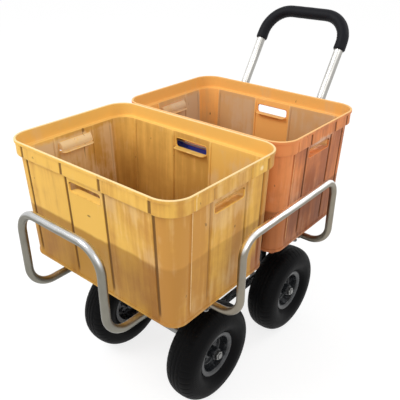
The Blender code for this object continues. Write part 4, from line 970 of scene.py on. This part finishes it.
def makeTyre(corner, centre, sign):
    # section carried round the axle; the radius loses zigzag grooves and shoulder slots, and the side wall
    # carries two raised rings
    outside = bothSides(inMm(smoothLine(tyreOutside, 58)))
    section = np.concatenate([outside, bothSides(inMm(smoothLine(tyreInside[::-1], 16))) * (-1, 1)])
    angle = ringAngles(wheel["columns"])
    x, r = section[:, :1], section[:, 1:]
    isOutside = (np.arange(len(section)) < len(outside))[:, None]
    bars = angle * wheel["bars"] / tau
    zigzag = 0.0021 * (np.abs(bars % 1 * 2 - 1) - 0.5)
    lines = [1 - smoothStep(np.abs(x - line - zigzag), 0.0009, 0.0019) for line in (-0.0115, 0, 0.0115)]
    slot = 1 - smoothStep(np.abs((bars + 0.25 * np.sign(x)) % 1 - 0.5), 0.075, 0.125)
    slot = slot * smoothStep(np.abs(x), 0.0165, 0.0190) * (1 - smoothStep(np.abs(x), 0.0385, 0.0410))
    depth = np.maximum(wheel["grooveDepth"] * np.max(lines, 0) * smoothStep(r, 0.1130, 0.1190),
                       wheel["slotDepth"] * slot * smoothStep(r, 0.1140, 0.1200))
    push = 0.0006 * (bump(r, 0.0735, 0.0011) + 0.7 * bump(r, 0.1085, 0.0010)) * (np.abs(x) > 0.02)
    ribs = 0.00035 * np.maximum(np.cos(angle * 88), 0) * smoothStep(r, 0.096, 0.099)
    push = push + ribs * (1 - smoothStep(r, 0.105, 0.107))
    depth, push = np.where(isOutside, depth, 0), np.where(isOutside, push * np.sign(x), 0)
    side = np.clip(x + push, -wheel["tyreHalfWidth"], wheel["tyreHalfWidth"]) * sign
    tyre = joined(side, (r - depth) * np.sin(angle), (depth - r) * np.cos(angle))
    skin = Skin().grid(tyre + centre, True, marks=joined(depth / wheel["grooveDepth"], 0, 0))
    skin.piece(corner + "_tyre", "tyre_" + corner, rubber, corner + "_wheel", 32)


def makeRim(corner, centre, sign):
    # pressed disc and barrel: a line of filleted corners, mirrored to both sides and turned about the axle
    section = bothSides(inMm(fillet(rimHalf, rimBends, 4)))
    angle = ringAngles(96)
    x, r = section[:, :1] * sign, section[:, 1:]
    rim = joined(x, r * np.sin(angle), -r * np.cos(angle))
    marks = joined(0, 0, bump(r, 0.0615, 0.0020) * 0.62 + 0.30 * bump(r, 0.0155, 0.0012))
    skin = Skin().grid(rim + centre, True, marks=marks)
    for turn in tau * (np.arange(4) + 0.5) / 4:  # the nuts that hold the two halves of the disc
        for way in (sign, -sign):
            around = wheel["nutCircle"] * math.sin(turn), wheel["nutCircle"] * math.cos(turn)
            place = centre + (way * wheel["nutStand"], *around)
            skin.lathe(inMm(discNut), place, (way, 0, 0), 36, wheel["nutFlats"])
    out, up = wheel["valve"]
    skin.lathe(inMm(valve), centre + (sign * out, 0, up), (0, 0, -1), 24)
    skin.piece(corner + "_rim", "rim_" + corner, blackSteel, corner + "_wheel", 32)


def makeBush(corner, centre, sign):
    profile = inMm(fillet(bush, [0.4, 0.2, 0.5, 0.6, 0.5], 3)[:-1])
    skin = Skin().lathe(profile, centre, (sign, 0, 0))
    skin.piece(corner + "_bush", "bush_" + corner, blackPlastic, corner + "_wheel")


for where in ("front", "rear"):
    for side, sign in sideSigns.items():
        corner = where + "_" + side
        centre = middleOf("tyre_" + corner)
        makeTyre(corner, centre, sign)
        makeRim(corner, centre, sign)
        makeBush(corner, centre, sign)
print("wheels made")

# the two inner spigots stay as they are, in zinc
for side in sideSigns:
    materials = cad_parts["joint_spigot_" + side].data.materials
    materials.clear()
    materials.append(zinc[0])


# floor, lights and camera

stage = {"floorHalf": 14.0, "floorColour": (0.86,) * 3, "shadowShare": (0.32,) * 3, "floorWhite": 0.78,
         "worldLight": 0.66, "keyPower": 46.0, "fillPower": 16.0, "backPower": 16.0}
white = (1, 1, 1)


def rayShare(graph):  # 1 where the camera, a mirror or a glass looks
    rays = graph.node("ShaderNodeLightPath").socket.node.outputs
    camera, glossy, through = (Value(graph, rays["Is " + kind + " Ray"])
                               for kind in ("Camera", "Glossy", "Transmission"))
    return graph.sum("MAXIMUM", graph.sum("MAXIMUM", camera, glossy), through)


def makeFloor():
    half = stage["floorHalf"]
    mesh = bpy.data.meshes.new("floor")
    corners = [(-half, -half, 0), (half, -half, 0), (half, half, 0), (-half, half, 0)]
    mesh.from_pydata(corners, [], [(0, 1, 2, 3)])
    floor = bpy.data.objects.new("floor", mesh)
    bpy.context.scene.collection.objects.link(floor)
    g = Graph("pale floor")
    plain = g.node("ShaderNodeBsdfDiffuse", inputs={"Color": stage["floorColour"]})
    share = g.node("ShaderNodeBsdfDiffuse", inputs={"Color": stage["shadowShare"]})
    glow = g.node("ShaderNodeEmission", inputs={"Color": white, "Strength": stage["floorWhite"]})
    lifted = g.node("ShaderNodeAddShader", inputs={0: share, 1: glow})
    shader = g.node("ShaderNodeMixShader", inputs={0: rayShare(g), 1: plain, 2: lifted})
    g.node("ShaderNodeOutputMaterial", inputs={"Surface": shader})
    mesh.materials.append(g.material)


def makeWorld():
    world = bpy.data.worlds.new("studio")
    g = Graph("studio", world)
    soft, plain = (g.node("ShaderNodeBackground", inputs={"Color": white, "Strength": strength})
                   for strength in (stage["worldLight"], 1))
    shader = g.node("ShaderNodeMixShader", inputs={0: rayShare(g), 1: soft, 2: plain})
    g.node("ShaderNodeOutputWorld", inputs={"Surface": shader})
    bpy.context.scene.world = world


def addLight(name, place, target, size):
    lamp = bpy.data.lights.new(name, "AREA")
    lamp.shape, lamp.size, lamp.energy = "DISK", size, stage[name + "Power"]
    made = bpy.data.objects.new(name, lamp)
    made.location = place
    made.rotation_mode = "QUATERNION"
    made.rotation_quaternion = (Vector(target) - Vector(place)).to_track_quat("-Z", "Y")
    bpy.context.scene.collection.objects.link(made)


makeFloor()
makeWorld()
addLight("key", (-1.1, -2.1, 3.0), (0, 0, 0.4), 1.6)
addLight("fill", (2.5, -1.3, 2.1), (0, 0, 0.4), 2.0)
addLight("back", (1.4, 2.2, 2.6), (0, 0, 0.5), 1.4)

view = {"place": (0.80523, -0.99797, 1.11925), "lens": 47.7113, "right": (0.76734410, 0.64122199, 0.00416915),
        "up": (-0.30183773, 0.35545460, 0.88461631), "ahead": (-0.56575349, 0.68006352, -0.46630098)}
camera = bpy.data.objects.new("camera", bpy.data.cameras.new("camera"))
camera.data.lens, camera.data.sensor_width = view["lens"], 36.0
turn = Matrix((view["right"], view["up"], -Vector(view["ahead"]))).transposed().to_4x4()
camera.matrix_world = Matrix.Translation(view["place"]) @ turn
bpy.context.scene.collection.objects.link(camera)
bpy.context.scene.camera = camera
bpy.context.scene.view_settings.view_transform = "Standard"
print("stage, lights and camera set")
